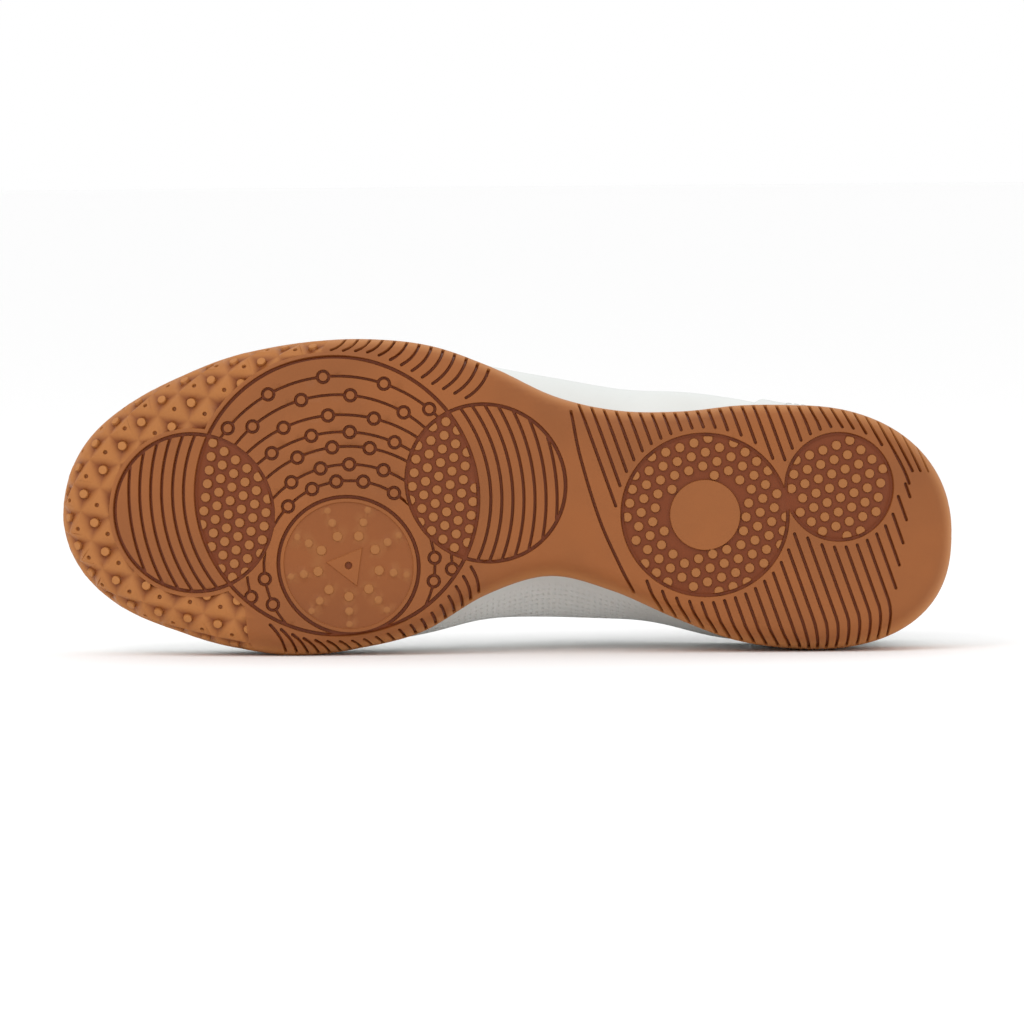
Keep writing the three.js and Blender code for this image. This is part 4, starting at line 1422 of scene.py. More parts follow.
def free_points(points):
    """A loose grid that fills the drawing where it has no points yet."""
    x, y = np.meshgrid(np.arange(-14, 304, GRID), np.arange(-62, 74, GRID * 0.866))
    x = x + (np.arange(len(x)) % 2)[:, None] * GRID / 2
    free = np.stack([x.ravel(), y.ravel()], -1)
    free = free[inset_of(free)[0] > EDGE_INSET + 0.9]
    corner, size, cells = (20, 70), 0.5, (700, 400)
    taken = np.zeros(cells, bool)
    cell = ((np.array(points) + corner) / size).astype(int)
    for dx in (-1, 0, 1):
        for dy in (-1, 0, 1):
            taken[np.clip(cell[:, 0] + dx, 0, cells[0] - 1), np.clip(cell[:, 1] + dy, 0, cells[1] - 1)] = True
    own = ((free + corner) / size).astype(int)
    return free[~taken[own[:, 0], own[:, 1]]]


def triangulated(angles, shapes, pyramids):
    """The drawing cut into triangles along its lines: its points, its faces and its points round the rim."""
    count = len(angles)
    points, edges = list(plan(angles, EDGE_INSET)), [(k, (k + 1) % count) for k in range(count)]
    more, lines = outline_of(shapes)
    facets = pyramids.lines().reshape(-1, 2)
    lines += [(len(more) + k, len(more) + k + 1) for k in range(0, len(facets), 2)]
    points += [*more, *facets]
    edges += [(a + count, b + count) for a, b in lines]
    points += list(free_points(points))
    points += [p for spread in EDGE_BANDS for p in plan(angles[::2], EDGE_WIDTH - spread)]
    made, _, faces, origin, _, _ = delaunay_2d_cdt([Vector(p) for p in points], edges, [], 0, 1e-4, True)
    flat = np.array([tuple(p) for p in made])
    tri = np.array([face for face in faces if len(face) == 3])
    tri = tri[inset_of(flat[tri].mean(1))[0] > EDGE_INSET - 1e-3]
    signed = np.cross(flat[tri[:, 1]] - flat[tri[:, 0]], flat[tri[:, 2]] - flat[tri[:, 0]])
    tri = np.where((signed > 0)[:, None], tri[:, ::-1], tri)
    where = {old: new for new, olds in enumerate(origin) for old in olds if old < count}
    return flat, tri, np.array([where[k] for k in range(count)])


def sole_side(at):
    """Insets and heights of the sole's side, from the drawing's edge over the raised rim and down to the bed."""
    low, top = tread_lift(at) + EDGE_HEIGHT + WALL_PART, rim_height(at)
    band = top - RIM_BAND
    return [
        *((0, mix(low, band - 0.3, share)) for share in (0.35, 0.7)),
        (0, band - 0.35), (0.12, band - 0.08), (0.4, band + 0.05), (0.75, band + 0.1), (RIM_STEP, band + 0.35),
        *((RIM_STEP, mix(band, top, share)) for share in (0.3, 0.5, 0.7)),
        (RIM_STEP, top - 0.8), (RIM_STEP + 0.1, top - 0.35), (RIM_STEP + 0.4, top - 0.08), (RIM_STEP + 0.8, top),
        (RIM_WALL - 0.3, top), (RIM_WALL, top - 0.3), (RIM_WALL, bed_height(at)),
    ]


def lid(loop):
    """Faces that close a loop of points straight across from side to side."""
    count, faces = len(loop), []
    for k in range(count // 2):
        face = list(dict.fromkeys(int(loop[i]) for i in (k, k + 1, count - k - 1, (count - k) % count)))
        if len(face) > 2:
            faces.append(face)
    return faces


def sole_mesh():
    cuts, studs, triangle, pyramids = tread_drawing()
    angles = np.linspace(0, 2 * pi, SOLE_AROUND, endpoint=False)
    flat, tri, rim = triangulated(angles, [*cuts, *studs, triangle], pyramids)
    depth, raised = relief_depths(flat, cuts, studs, triangle, pyramids)
    surface, out, inset = tread_surface(flat)
    depth *= ease(EDGE_INSET + 0.1, EDGE_INSET + 1.6, inset)
    top = surface - out * depth[:, None]
    rings = [np.column_stack([plan(angles, step), height]) for step, height in sole_side(around(angles)[0])]
    rest = np.zeros(len(rings) * SOLE_AROUND)
    loops = [rim, *(len(flat) + np.arange(len(rest)).reshape(-1, SOLE_AROUND))]
    faces = tri.tolist()
    for one, two in zip(loops, loops[1:]):
        faces += np.stack([one, np.roll(one, -1), np.roll(two, -1), two], -1).tolist()
    faces += lid(loops[-1])
    # Painted light over the toe's pyramid field: its pits take less painted shade and its ridges part of the painted
    # edge light
    painted_light = ease(-0.3, 0.6, pyramids.room(flat))
    # relief carries painted shade in the grooves and pits, raised the painted highlight on stud tops and edge painted
    # light on the rounded edge, the wall and the toe's field
    attributes = {
        "relief": np.r_[depth / DEPTH * mix(1, 0.6, painted_light), rest],
        "raised": np.r_[raised, rest],
        "edge": 0.7 * np.r_[np.maximum(ease(3.5, -2.5, inset), 0.74 * painted_light), 1 + rest],
    }
    return new_mesh("outsole_tread", np.vstack([top, *rings]), faces, attributes=attributes, merge=False)


# The upper, what is fixed to it and what lies in it

TIP_AT = (THROAT_END * LENGTH + float(throat_reach(THROAT_END)) - IN_RIM) / (LENGTH - 2 * IN_RIM)


UPPER_AROUND = 130
UPPER_LEVELS = 44

# Distances from an edge, in millimetres, of the rows that shape its rounding
BY_TIP = (0, 0.1, 0.4, 1.0, 1.8, 3.0, 4.5, 6.5)
BY_OPENING = (1.6, 0.8, 0.4, 0.12, 0.0)


def upper_angles():
    """Angles of the upper's sections, the same on both sides and closer together round the throat's front end."""
    even = np.linspace(0, pi, UPPER_AROUND)
    near = angle_at(TIP_AT - np.array(BY_TIP) / LENGTH)
    outer = np.sort(np.r_[even[np.abs(even[:, None] - near).min(1) > 0.005], near])
    return np.r_[outer, 2 * pi - outer[-2:0:-1]]


def levels_to(angle, top):
    """Levels of each section from the rim up to its top, closer together there."""
    size = np.linalg.norm(plain_skin(angle, top) - plain_skin(angle, top - 0.004), axis=-1) / 0.004
    size = np.maximum(size, 5.0)
    rows = [t * (top - BY_OPENING[0] / size) for t in np.linspace(0, 1, UPPER_LEVELS)]
    return np.array(rows + [top - d / size for d in BY_OPENING[1:]])


def opening_line():
    """Points close together along the edge of the collar and the throat."""
    angle = np.linspace(0, 2 * pi, 2400, endpoint=False)
    tips = np.linspace(0, 8, 160) ** 2 / 64 * 8
    angle = np.sort(np.r_[angle, angle_at(TIP_AT - tips / LENGTH), angle_at(TIP_AT - tips / LENGTH, -1)])
    level = opening_level(angle)
    return plain_skin(angle, level)[level < 0.9999]


def lengths(points):
    """Distance run along each column of a grid of points."""
    step = np.linalg.norm(np.diff(points, axis=0), axis=-1)
    return np.vstack([np.zeros(step.shape[1]), np.cumsum(step, axis=0)])


def run_along(line):
    """Distance run at each point of a line."""
    return np.cumsum(np.r_[0, np.linalg.norm(np.diff(line, axis=0), axis=1)])


def upper_mesh():
    angle = upper_angles()
    top = opening_level(angle)
    v = levels_to(angle, top)
    rows = np.broadcast_to(angle, v.shape)
    fall = edge_fall(distance_to(plain_skin(rows, v), opening_line()), 0.8)
    at, side = around(angle)
    square = skin_normal(angle, 0 * angle)
    square[:, 2] = 0
    square /= np.linalg.norm(square, axis=1, keepdims=True)
    foot = plain_skin(angle, 0 * angle)
    low = np.array([np.column_stack([foot[:, :2], mix(bed_height(at) + GAP, rim_height(at), t)]) for t in (0, 0.5)])
    outer = np.concatenate([low, skin(rows, v, -fall)])
    inner = np.concatenate([low - WALL * square, skin(rows, v, fall - WALL)])
    row_count, count = outer.shape[:2]
    faces = quads(row_count, count, closed=True)
    total = row_count * count
    for j in range(count):
        k = (j + 1) % count
        faces.append([k, j, total + j, total + k])
        if min(top[j], top[k]) < 0.9999:
            a, b = (row_count - 1) * count + j, (row_count - 1) * count + k
            faces.append([a, b, total + b, total + a])
    inside_from = len(faces)
    faces += quads(row_count, count, closed=True, flip=True, start=total)
    run = run_along(plain_skin(angle, 0.3 + 0 * angle))
    uv = np.stack([np.broadcast_to(run, outer.shape[:2]), lengths(outer)], -1).reshape(-1, 2)
    dimpled = ease(0.3, 0.36, at) * ease(0.63, 0.57, at) * ease(0.2, -0.2, side)
    dimpled = np.broadcast_to(dimpled, outer.shape[:2]) * ease(3, 7, outer[..., 2] - rim_height(at))
    points = np.vstack([outer.reshape(-1, 3), inner.reshape(-1, 3)])
    dots = np.r_[dimpled.ravel(), np.zeros(total)]
    return new_mesh("upper_shell", points, faces, np.vstack([uv, uv]), {"dimpled": dots}, inside_from=inside_from)


def closed_shell(name, over, under, even_row, seam=False):
    """A shell between two grids of points, closed along the grids' borders, without the last row's at a seam."""
    rows, count = over.shape[:2]
    grid = np.arange(rows * count).reshape(rows, count)
    faces = quads(rows, count) + quads(rows, count, flip=True, start=grid.size)
    for loop in (grid[0], grid[:, 0], grid[:, -1], *([] if seam else [grid[-1]])):
        faces += [[a, b, grid.size + b, grid.size + a] for a, b in zip(loop, loop[1:])]
    run = np.broadcast_to(run_along(over[even_row]), (rows, count))
    uv = np.stack([run, lengths(over)], -1).reshape(-1, 2)
    return new_mesh(name, np.vstack([over.reshape(-1, 3), under.reshape(-1, 3)]), faces, np.vstack([uv, uv]))


def shell_mesh(name, angle, v, border, high, low, radius, seam=False, fatter=0.0, inside=False):
    """A closed shell over a patch of the skin with rounded edges; seam joins the last row at the ridge."""
    fall = edge_fall(distance_to(plain_skin(angle, v), border), radius)
    over = skin(angle, v, high - fall + fatter)
    under = skin(angle, v, low + (fall if inside else 0))
    return closed_shell(name, over, under, len(over) // 2, seam)


def graded_line(count, near=(0, 0.12, 0.35, 0.7, 1.1), span=50.0, both=True):
    """Shares from 0 to 1 that lie closer together at the ends."""
    close = np.array(near) / span
    middle = np.linspace(near[-1] * 2 / span, 1 - (near[-1] * 2 / span if both else 0), count)
    return np.r_[close, middle, 1 - close[::-1]] if both else np.r_[close, middle]


def bisect(low, high, test):
    """Where a test changes from below zero at low to above zero at high."""
    low, high = np.array(low, float), np.array(high, float)
    for _ in range(40):
        middle = (low + high) / 2
        past = test(middle) > 0
        high, low = np.where(past, middle, high), np.where(past, low, middle)
    return (low + high) / 2


def rim_level(angle):
    return level_where(angle, lambda p: p[..., 2] - rim_height(np.clip(p[..., 0] / LENGTH, 0, 1)) - 2 * GAP)


ANGLES = np.linspace(0, 2 * pi, 1441)
RIM_LEVELS = rim_level(ANGLES)


def toe_cap_edge(points):
    """Above zero ahead of the cap's rear edge."""
    return points[..., 0] - (LENGTH - TOE_CAP_LENGTH - 0.4 * TOE_CAP_LENGTH * (points[..., 1] / (BALL / 2)) ** 2)


def toe_cap_patch(grow=0.0):
    rise = graded_line(30, span=60, both=False)[:, None]
    share = graded_line(56, span=75)[None, :] * 2 - 1
    share = (share - share[:, ::-1]) / 2

    def level(angle):
        return mix(np.interp(angle % (2 * pi), ANGLES, RIM_LEVELS), 1.0, rise)

    reach = {}
    for side in (1, -1):
        far = np.full((len(rise), 1), 1.9)
        reach[side] = bisect(
            0 * far, far, lambda turn: grow - toe_cap_edge(plain_skin(side * turn, level(side * turn))))
    angle = share * np.where(share > 0, reach[1], reach[-1])
    return angle % (2 * pi), level(angle)


def counter_top(at):
    reach = COUNTER_LENGTH / LENGTH
    t = np.clip((at + 0.1) / (reach + 0.1), 0, 1)
    drop = COUNTER_DROP + float(collar_height(reach) - rim_height(reach)) * 0.35 * ease(0.4, 1, t)
    return collar_height(at) - drop


def counter_patch():
    reach = COUNTER_LENGTH / LENGTH
    high = float(counter_top(reach))
    tops = level_where(ANGLES, lambda p: p[..., 2] - counter_top(np.minimum(p[..., 0] / LENGTH, reach)))
    rise = graded_line(26, span=45)[:, None]
    share = graded_line(64, span=75)[None, :] * 2 - 1

    def level(angle):
        return mix(np.interp(angle, ANGLES, RIM_LEVELS), np.interp(angle, ANGLES, tops), rise)

    def beyond(angle):
        points = plain_skin(angle, level(angle))
        return points[..., 0] - COUNTER_LENGTH * (1 + 0.25 * (1 - points[..., 2] / high))

    start = np.full((len(rise), 1), pi)
    outer, inner = (bisect(start * 0, start * 0 + 2.6, lambda turn: beyond(pi + way * turn)) for way in (-1, 1))
    angle = pi + share * np.where(share < 0, outer, inner)
    return angle, level(angle)


def eyestay_patch():
    """The band round the throat: along it from the outer rear end round the front, and across it from the edge."""
    across = graded_line(9, span=EYESTAY_WIDTH)
    rear, front = EYESTAY_REAR * LENGTH, THROAT_END * LENGTH
    x = np.r_[rear + 1.2 * np.array([0, 0.1, 0.3, 0.6]), np.linspace(rear + 1.6, front, 62)]
    turn = np.linspace(pi / 2, -pi / 2, 44)[1:-1]
    centre, radius = float(ridge(THROAT_END)[0]), float(throat_reach(THROAT_END))
    sides = {}
    for side in (1.0, -1.0):
        at = x / LENGTH
        angle = angle_at((x - IN_RIM) / (LENGTH - 2 * IN_RIM), side)
        edge = plain_skin(angle, opening_level(angle))
        inner = np.maximum(throat_reach(at), np.abs(edge[:, 1] - ridge(at)[0]))
        outer = throat_reach(at, EYESTAY_WIDTH)
        inner = np.minimum(inner, outer - 1)
        half = mix(inner, outer, across[:, None])
        sides[side] = np.stack([np.broadcast_to(x, half.shape), ridge(at)[0] + side * half], -1)
    grow = radius + EYESTAY_WIDTH * across[:, None]
    head = np.stack([front + grow * np.cos(turn), centre + grow * np.sin(turn)], -1)
    spots = np.concatenate([sides[1.0], head, sides[-1.0][:, ::-1]], axis=1)
    return on_skin(spots[..., 0], spots[..., 1])


def border_of(angle, v, seam=False):
    points = plain_skin(angle, v)
    parts = [points[0], points[:, 0], points[:, -1]] + ([] if seam else [points[-1]])
    return np.vstack([dense(part, 0.3) for part in parts])


def pierced(mesh):
    """A mesh with the eyelets' holes cut through it."""
    shape = bmesh.new()
    for pair in range(EYELET_PAIRS):
        for side in (1, -1):
            angle, v = on_skin(*eyelet(pair, side))
            spot, square = plain_skin(angle, v), skin_normal(angle, v)
            way = sum((Vector(d) * float(s) for d, s in zip(DIRECTIONS, square)), Vector())
            turned = way.to_track_quat("Z", "Y").to_matrix().to_4x4()
            bmesh.ops.create_cone(shape, cap_ends=True, segments=20, radius1=EYELET_RADIUS * MM,
                                  radius2=EYELET_RADIUS * MM, depth=20 * MM,
                                  matrix=Matrix.Translation(Vector(to_frame(spot))) @ turned)
    cutter = bpy.data.meshes.new("pins")
    shape.to_mesh(cutter)
    shape.free()
    pins = in_scene("pins", cutter)
    piece = in_scene(mesh.name, mesh)
    cut = piece.modifiers.new("eyelets", "BOOLEAN")
    cut.operation, cut.solver, cut.object = "DIFFERENCE", "EXACT", pins
    made = baked(piece)
    bpy.data.objects.remove(pins)
    bpy.data.meshes.remove(cutter)
    return made


def collar_pad_mesh():
    """Padding inside the collar round the heel, rolled over at the top."""
    limit = float(angle_at(PADDING_END))
    angle = np.linspace(limit, 2 * pi - limit, 150)
    top = opening_level(angle)
    bottom = level_where(angle, lambda p: p[..., 2] - (ANKLE - PADDING_FOOT - 4))
    v = mix(np.minimum(bottom, top - 0.05), top, graded_line(22, (0, 0.15, 0.5, 1.0, 1.6), 40)[:, None])
    rows = np.broadcast_to(angle, v.shape)
    points = plain_skin(rows, v)
    at, _ = around(rows)
    thick = PADDING * (1 - ease(0.18, 0.31, at)) * ease(ANKLE - PADDING_FOOT, ANKLE - PADDING_TOP, points[..., 2])
    thick = np.maximum(thick * 1.05, 0.0) + 0.5
    near = np.clip(1 - distance_to(points, opening_line()) / 3.5, 0, 1)
    roll = thick * (1 - np.sqrt(1 - near**2))
    over = skin(rows, v, -WALL - 0.05)
    return closed_shell("collar_padding_soft", over, skin(rows, v, -WALL - thick + 0.8 * roll), -1)


INSOLE_THICKNESS = 4


def insole_mesh():
    """A loose textile covered footbed, with a rounded edge."""
    count = 260
    angle = np.linspace(0, 2 * pi, count, endpoint=False)
    at, _ = around(angle)
    inset = RIM_WALL + WALL + 2 * GAP
    rings = [(0.6, 0), (0, 0.5), (0, 3.0), (0.15, 3.5), (0.5, 3.85), (1, 4.0)]
    rings += [(1 + reach, 4.0) for reach in (1.5, 3, 5, 8, 11, 14)]
    points = np.vstack([
        np.column_stack([plan(angle, inset + step), bed_height(at) + GAP + rise * INSOLE_THICKNESS / 4])
        for step, rise in rings])
    loops = np.arange(len(points)).reshape(-1, count)
    faces = quads(len(rings), count, closed=True) + lid(loops[-1]) + [face[::-1] for face in lid(loops[0])]
    return new_mesh("insole_soft", points, faces, points[:, :2])


TONGUE_SIDE = 9
TONGUE_SINK = 3.8
TONGUE_THICKNESS = 3.2


def tongue_mesh():
    """The padded tongue under the throat, with a soft rounded edge."""
    t = graded_line(58, (0, 0.2, 0.7, 1.4), 108)[:, None]
    at = mix(TONGUE_TOP, TONGUE_END, t)
    corner = np.sqrt(1 - np.maximum(0, 1 - t / 0.1) ** 2)
    tip = np.sqrt(1 - np.maximum(0, 1 - (1 - t) / 0.1) ** 2)
    half = (follow(THROAT_HALF, "half", at) * BALL + TONGUE_SIDE) * (0.6 + 0.4 * corner) * (0.5 + 0.5 * tip)
    share = graded_line(30, (0, 0.2, 0.7, 1.4), 42)[None, :] * 2 - 1
    x = np.broadcast_to(at * LENGTH, (len(t), share.shape[1]))
    y = ridge(at)[0] + share * half
    angle, v = on_skin(x, y)
    border = border_of(angle, v)
    reach = distance_to(plain_skin(angle, v), border)
    puff = 0.35 * np.sin(pi * np.clip(reach / 14, 0, 1)) * ease(0, 6, reach)
    return shell_mesh("tongue_soft", angle, v, border, -TONGUE_SINK, -TONGUE_SINK - TONGUE_THICKNESS, 1.5,
                      fatter=puff, inside=True)


LACE_WIDTH = 5.5
LACE_THICKNESS = 1.4
NARROW_LACE = 3.2

# The lace's rounded section, as shares of its width and thickness
LACE_SECTION = np.array([
    (-0.5, -0.12), (-0.46, -0.36), (-0.36, -0.5), (0, -0.5), (0.36, -0.5), (0.46, -0.36), (0.5, -0.12),
    (0.5, 0.12), (0.46, 0.36), (0.36, 0.5), (0, 0.5), (-0.36, 0.5), (-0.46, 0.36), (-0.5, 0.12),
])


def ribbon(start, end, lifts, narrow, first):
    """Points and faces of a flat lace between two eyelets, from its lifts over the skin and its narrow ends."""
    start, end = np.array(start), np.array(end)
    span = np.linalg.norm(end - start)
    begin, stop = lifts[0][0], lifts[-1][0]
    along = np.linspace(begin, stop, int((stop - begin) * span / 0.5) + 2)
    spots = start + along[:, None] * (end - start)
    rows = {"at": np.array([a for a, _ in lifts]), "lift": np.array([b for _, b in lifts])}
    angle, v = on_skin(spots[:, 0], spots[:, 1])
    lift = follow(rows, "lift", along)
    centre = skin(angle, v, lift)
    normal = skin_normal(angle, v)
    way = np.gradient(centre, axis=0)
    way /= np.linalg.norm(way, axis=1, keepdims=True)
    across = np.cross(normal, way)
    across /= np.linalg.norm(across, axis=1, keepdims=True)
    square = np.cross(way, across)
    width = np.full(len(along), LACE_WIDTH)
    for spot in narrow:
        width = np.minimum(width, mix(NARROW_LACE, LACE_WIDTH, ease(0.5, 6.5, np.abs(along - spot) * span)))
    thick = LACE_THICKNESS * mix(1.25, 1.0, ease(NARROW_LACE, LACE_WIDTH, width))
    ring = LACE_SECTION
    points = (centre[:, None] + across[:, None] * (ring[:, 0] * width[:, None])[..., None]
              + square[:, None] * (ring[:, 1] * thick[:, None])[..., None])
    count = len(ring)
    faces = quads(len(along), count, closed=True, start=first)
    faces.append([first + k for k in range(count)][::-1])
    faces.append([first + (len(along) - 1) * count + k for k in range(count)])
    reach = along * span
    uv = np.stack([np.broadcast_to(reach[:, None], points.shape[:2]), ring[None, :, 0] * width[:, None]], -1)
    return points.reshape(-1, 3), faces, uv.reshape(-1, 2)


def lace_mesh():
    """A bar in the first pair, then crossings that pass over one edge of the throat and under the other."""
    over, deep, under = 2.4, -2.0, -2.95
    points, faces, uv = [], [], []

    def add(start, end, lifts, narrow):
        more, sides, place = ribbon(start, end, lifts, narrow, sum(len(p) for p in points))
        points.append(more)
        faces.extend(sides)
        uv.append(place)

    hole = 3.0 / np.linalg.norm(eyelet(0, 1) - eyelet(0, -1))
    add(eyelet(0, 1), eyelet(0, -1), [(0, deep), (hole, over), (0.24, over - 0.1), (0.5, 1.3), (0.76, over - 0.1),
                                      (1 - hole, over), (1, deep)], [0, 1])
    for pair in range(EYELET_PAIRS - 1):
        for side in (1, -1):
            start, end = eyelet(pair, side), eyelet(pair + 1, -side)
            span = np.linalg.norm(end - start)
            edge = 8.0 / span
            middle = -0.75 if (side > 0) == (pair % 2 == 0) else -2.35
            last = pair == EYELET_PAIRS - 2
            begin = [(0.35 * edge, under), (edge, under + 0.1)] if pair == 0 else [
                (0, deep), (3.0 / span, over), (0.9 * edge, over - 0.2)]
            finish = [(1 - 0.9 * edge, over - 0.2), (1 - 3.0 / span, over), (1, deep)] if last else [
                (1 - edge, under + 0.1), (1 - 0.35 * edge, under)]
            narrow = ([] if pair == 0 else [0]) + ([1] if last else [])
            add(start, end, [*begin, (0.5, middle), *finish], narrow)
    return new_mesh("lace_woven", np.vstack(points), faces, np.vstack(uv), merge=False)


# Settings, operators and panel


def colour_setting(name, description, value):
    return bpy.props.FloatVectorProperty(name=name, description=description, subtype="COLOR", size=3, min=0, max=1,
                                         default=value)


class ShoeSettings(bpy.types.PropertyGroup):
    """Colours and sizes of the shoe's finishes."""

    gum: colour_setting("Gum", "Colour of the tread's flats", (0.265, 0.083, 0.019))
    # Painted highlight on the studs' tops
    gum_painted_stud_highlight: colour_setting("Gum studs", "Colour of the tops of the studs", (0.33, 0.125, 0.034))
    # Painted light on the rounded edge and the wall
    gum_painted_edge_light: colour_setting("Gum edge", "Colour of the sole's rounded edge and its wall", (0.5, 0.2, 0.052))
    # Painted shade in the grooves and pits
    gum_painted_groove_shade: colour_setting("Gum grooves", "Colour in the depth of the grooves", (0.17, 0.034, 0.004))
    leather: colour_setting("Leather", "Colour of the upper's coated leather", (0.7, 0.72, 0.7))
    lining: colour_setting("Lining", "Colour of the knitted lining", (0.58, 0.6, 0.59))
    lace: colour_setting("Lace", "Colour of the laces", (0.74, 0.75, 0.74))
    thread: colour_setting("Thread", "Colour of the sewing thread", (0.6, 0.61, 0.59))
    dimple_pitch: bpy.props.FloatProperty(
        name="Dimple pitch", description="Distance between the dimples of the inner quarter, in millimetres",
        default=1.9, min=0.5, max=6)


class ShoeStep(bpy.types.Operator):
    """Builds one part of the shoe."""

    bl_options = {"REGISTER", "UNDO"}

    def settings(self, context):
        return context.scene.football_shoe

    def execute(self, context):
        made = self.build(context)
        if not made:
            raise RuntimeError(self.bl_label + " made nothing")
        return {"FINISHED"}


class BuildOutsole(ShoeStep):
    """Builds the gum outsole with its tread pattern and its rim."""

    bl_idname = "shoe.outsole"
    bl_label = "Outsole"

    def build(self, context):
        gum = gum_rubber(self.settings(context))
        return finish_piece(sole_mesh(), "sole_tread", gum, ["outsole"])


class BuildUpper(ShoeStep):
    """Builds the hollow leather upper with its lining and the padding of its collar."""

    bl_idname = "shoe.upper"
    bl_label = "Upper"

    def build(self, context):
        settings = self.settings(context)
        leather = white_leather(settings)
        lining = knit_lining("upper_lining", settings.lining)
        upper = finish_piece(pierced(upper_mesh()), "upper_shell", leather, ["upper"], lining)
        soft = knit_lining("collar_lining", settings.lining, 1.1)
        pad = finish_piece(collar_pad_mesh(), "collar_padding", soft)
        return upper


class BuildOverlays(ShoeStep):
    """Builds the toe cap, the heel counter and the eyestay over the upper."""

    bl_idname = "shoe.overlays"
    bl_label = "Toe cap, heel counter and eyestay"

    def build(self, context):
        leather = white_leather(self.settings(context), "overlay_leather", 0.97, dimples=False)
        for node, patch in (("toe_cap", toe_cap_patch), ("heel_counter", counter_patch), ("eyestay", eyestay_patch)):
            (angle, v), seam = patch(), node == "toe_cap"
            border = border_of(angle, v, seam)
            high, low = GAP + OVERLAY, OVERLAY_GAP
            mesh = shell_mesh(node + "_shell", angle, v, border, high, low, OVERLAY_EDGE, seam)
            if node == "eyestay":
                mesh = pierced(mesh)
            made = finish_piece(mesh, node + "_shell", leather, [node])
        return made


class BuildInsole(ShoeStep):
    """Builds the loose footbed."""

    bl_idname = "shoe.insole"
    bl_label = "Insole"

    def build(self, context):
        settings = self.settings(context)
        cover = knit_lining("insole_textile", settings.lining, 1.3)
        return finish_piece(insole_mesh(), "insole_footbed", cover, ["insole"])


class BuildTongue(ShoeStep):
    """Builds the padded tongue."""

    bl_idname = "shoe.tongue"
    bl_label = "Tongue"

    def build(self, context):
        settings = self.settings(context)
        cover = knit_lining("tongue_textile", settings.leather, 1.2)
        tongue = finish_piece(tongue_mesh(), "tongue_padded", cover, ["tongue"])
        return tongue


class BuildLace(ShoeStep):
    """Runs the flat laces through the eyelets."""

    bl_idname = "shoe.lace"
    bl_label = "Laces"

    def build(self, context):
        return finish_piece(lace_mesh(), "lace_woven", woven_lace(self.settings(context)), ["lace"])


# How far the toe cap's two seams lie from its rear edge
CAP_SEAMS = (2.4, 4.6)


class BuildSeams(ShoeStep):
    """Sews the overlays."""

    bl_idname = "shoe.seams"
    bl_label = "Seams"

    def build(self, context):
        thread = sewing_thread("seam_thread", self.settings(context).thread)
        high = GAP + OVERLAY + 0.02
        lines = []
        for aside in CAP_SEAMS:
            angle, v = toe_cap_patch(aside)
            lines += [skin(angle[1:, k], v[1:, k], high) for k in (0, -1)]
        angle, v = counter_patch()
        lines += [skin(angle[2:-7, k], v[2:-7, k], high) for k in (6, len(angle[0]) - 7)]
        lines.append(skin(angle[-7, 6:-6], v[-7, 6:-6], high))
        angle, v = eyestay_patch()
        lines += [skin(angle[k, 4:-4], v[k, 4:-4], high) for k in (5, len(angle) - 6)]
        return sew("overlay_seams", lines, thread)


class BuildStage(ShoeStep):
    """Lays the floor and sets the lights, the world and the camera."""

    bl_idname = "shoe.stage"
    bl_label = "Stage"

    def build(self, context):
        return build_stage(context)


STEPS = (BuildOutsole, BuildUpper, BuildOverlays, BuildInsole, BuildTongue, BuildLace, BuildSeams, BuildStage)


class ShoePanel(bpy.types.Panel):
    """Lists the shoe's settings and its steps in the sidebar."""

    bl_idname = "VIEW3D_PT_football_shoe"
    bl_label = "Indoor football shoe"
    bl_space_type = "VIEW_3D"
    bl_region_type = "UI"
    bl_category = "Shoe"

    def draw(self, context):
        for key in ShoeSettings.__annotations__:
            self.layout.prop(context.scene.football_shoe, key)
        for step in STEPS:
            self.layout.operator(step.bl_idname)


def register():
    for kind in (ShoeSettings, *STEPS, ShoePanel):
        bpy.utils.register_class(kind)
    bpy.types.Scene.football_shoe = bpy.props.PointerProperty(type=ShoeSettings)


def unregister():
    del bpy.types.Scene.football_shoe
    for kind in reversed((ShoeSettings, *STEPS, ShoePanel)):
        bpy.utils.unregister_class(kind)


# Stage

TARGET = (142.4, 4.19, 0)
CAMERA_TURN = radians(1.8)
CAMERA_DISTANCE = 3.0
CAMERA_LENS = 327.5
FLOOR = 15


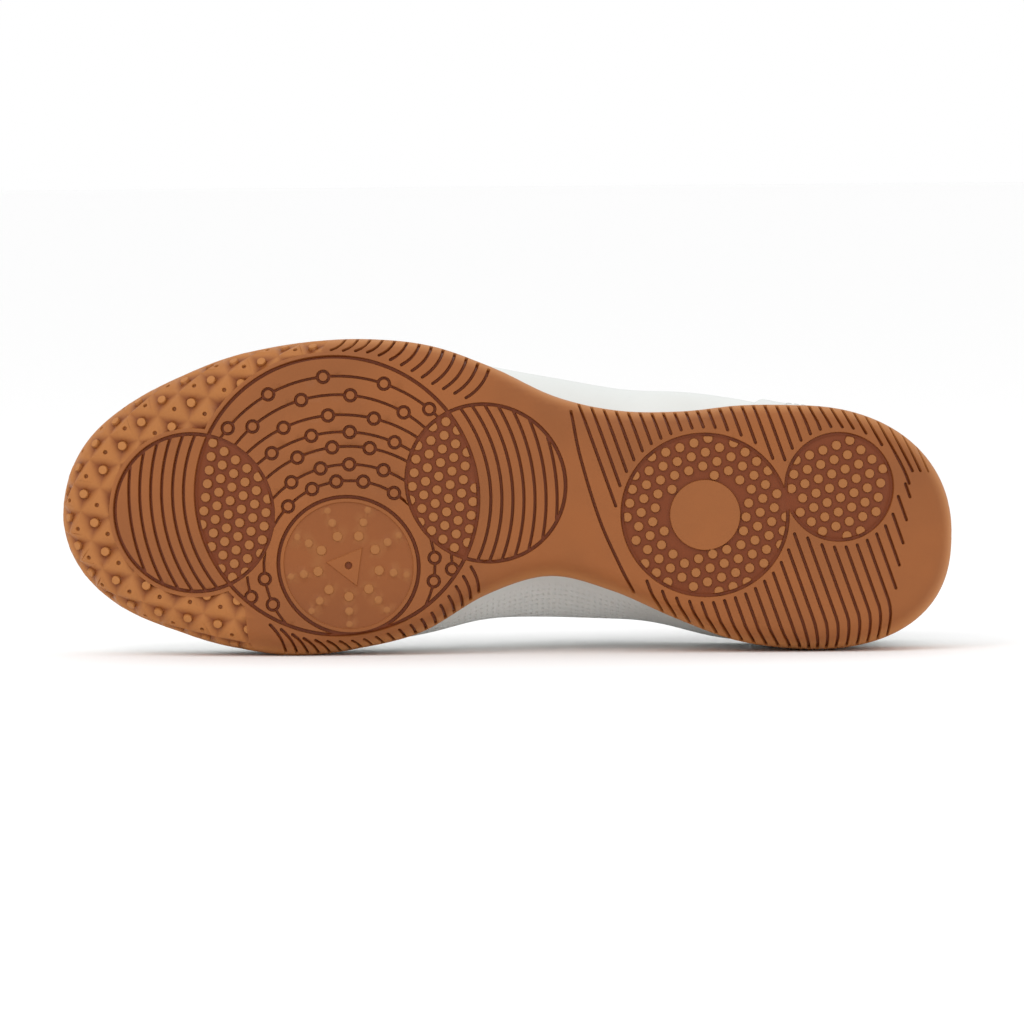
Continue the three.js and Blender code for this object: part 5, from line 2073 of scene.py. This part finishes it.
# Softboxes: how far they stand towards the camera, to the right and up, in metres, their width and their watts
LIGHTS = {"key": (1.0, -0.7, 1.2, 0.9, 5.5), "fill": (1.3, 0.9, 0.5, 1.2, 2), "top": (0, 0, 1.5, 1.6, 1.5)}
SHOE_MIDDLE = Vector((0, 0, 0.06))


def build_camera(context):
    forward, outward, up = DIRECTIONS
    side = -cos(CAMERA_TURN) * forward + sin(CAMERA_TURN) * outward
    high = sin(CAMERA_TURN) * forward + cos(CAMERA_TURN) * outward
    data = bpy.data.cameras.new("camera")
    data.sensor_width, data.lens = 36, CAMERA_LENS
    camera = in_scene("camera", data)
    place = Vector(to_frame(TARGET)) - up * CAMERA_DISTANCE
    camera.matrix_world = Matrix.Translation(place) @ Matrix((side, high, -up)).transposed().to_4x4()
    context.scene.camera = camera
    return camera


def build_floor():
    mesh = bpy.data.meshes.new("floor")
    corners = [(x * FLOOR, y * FLOOR, 0) for x, y in ((-1, -1), (1, -1), (1, 1), (-1, 1))]
    mesh.from_pydata(corners, [], [range(4)])
    paper = Finish("studio_paper", Roughness=0.85, Base_Color=(0.98, 0.98, 0.98, 1))
    mesh.materials.append(paper.material)
    in_scene("floor", mesh)


def build_lights():
    up = Vector((0, 0, 1))
    back = -DIRECTIONS[2]
    facing = Vector((back.x, back.y, 0)).normalized()
    right = up.cross(facing)
    for name, (near, aside, high, width, power) in LIGHTS.items():
        light = bpy.data.lights.new(name, "AREA")
        light.shape, light.size, light.energy = "SQUARE", width, power
        lamp = in_scene(name, light)
        lamp.location = SHOE_MIDDLE + facing * near + right * aside + up * high
        lamp.rotation_euler = (SHOE_MIDDLE - lamp.location).to_track_quat("-Z", "Y").to_euler()


def build_stage(context):
    camera = build_camera(context)
    build_floor()
    build_lights()
    world = bpy.data.worlds.new("studio")
    world.use_nodes = True
    world.node_tree.nodes["Background"].inputs["Color"].default_value = (1, 1, 1, 1)
    context.scene.world = world
    context.scene.view_settings.view_transform = "Standard"
    return camera


def main():
    register()
    for step in STEPS:
        group, name = step.bl_idname.split(".")
        getattr(getattr(bpy.ops, group), name)()


if __name__ == "__main__":
    main()
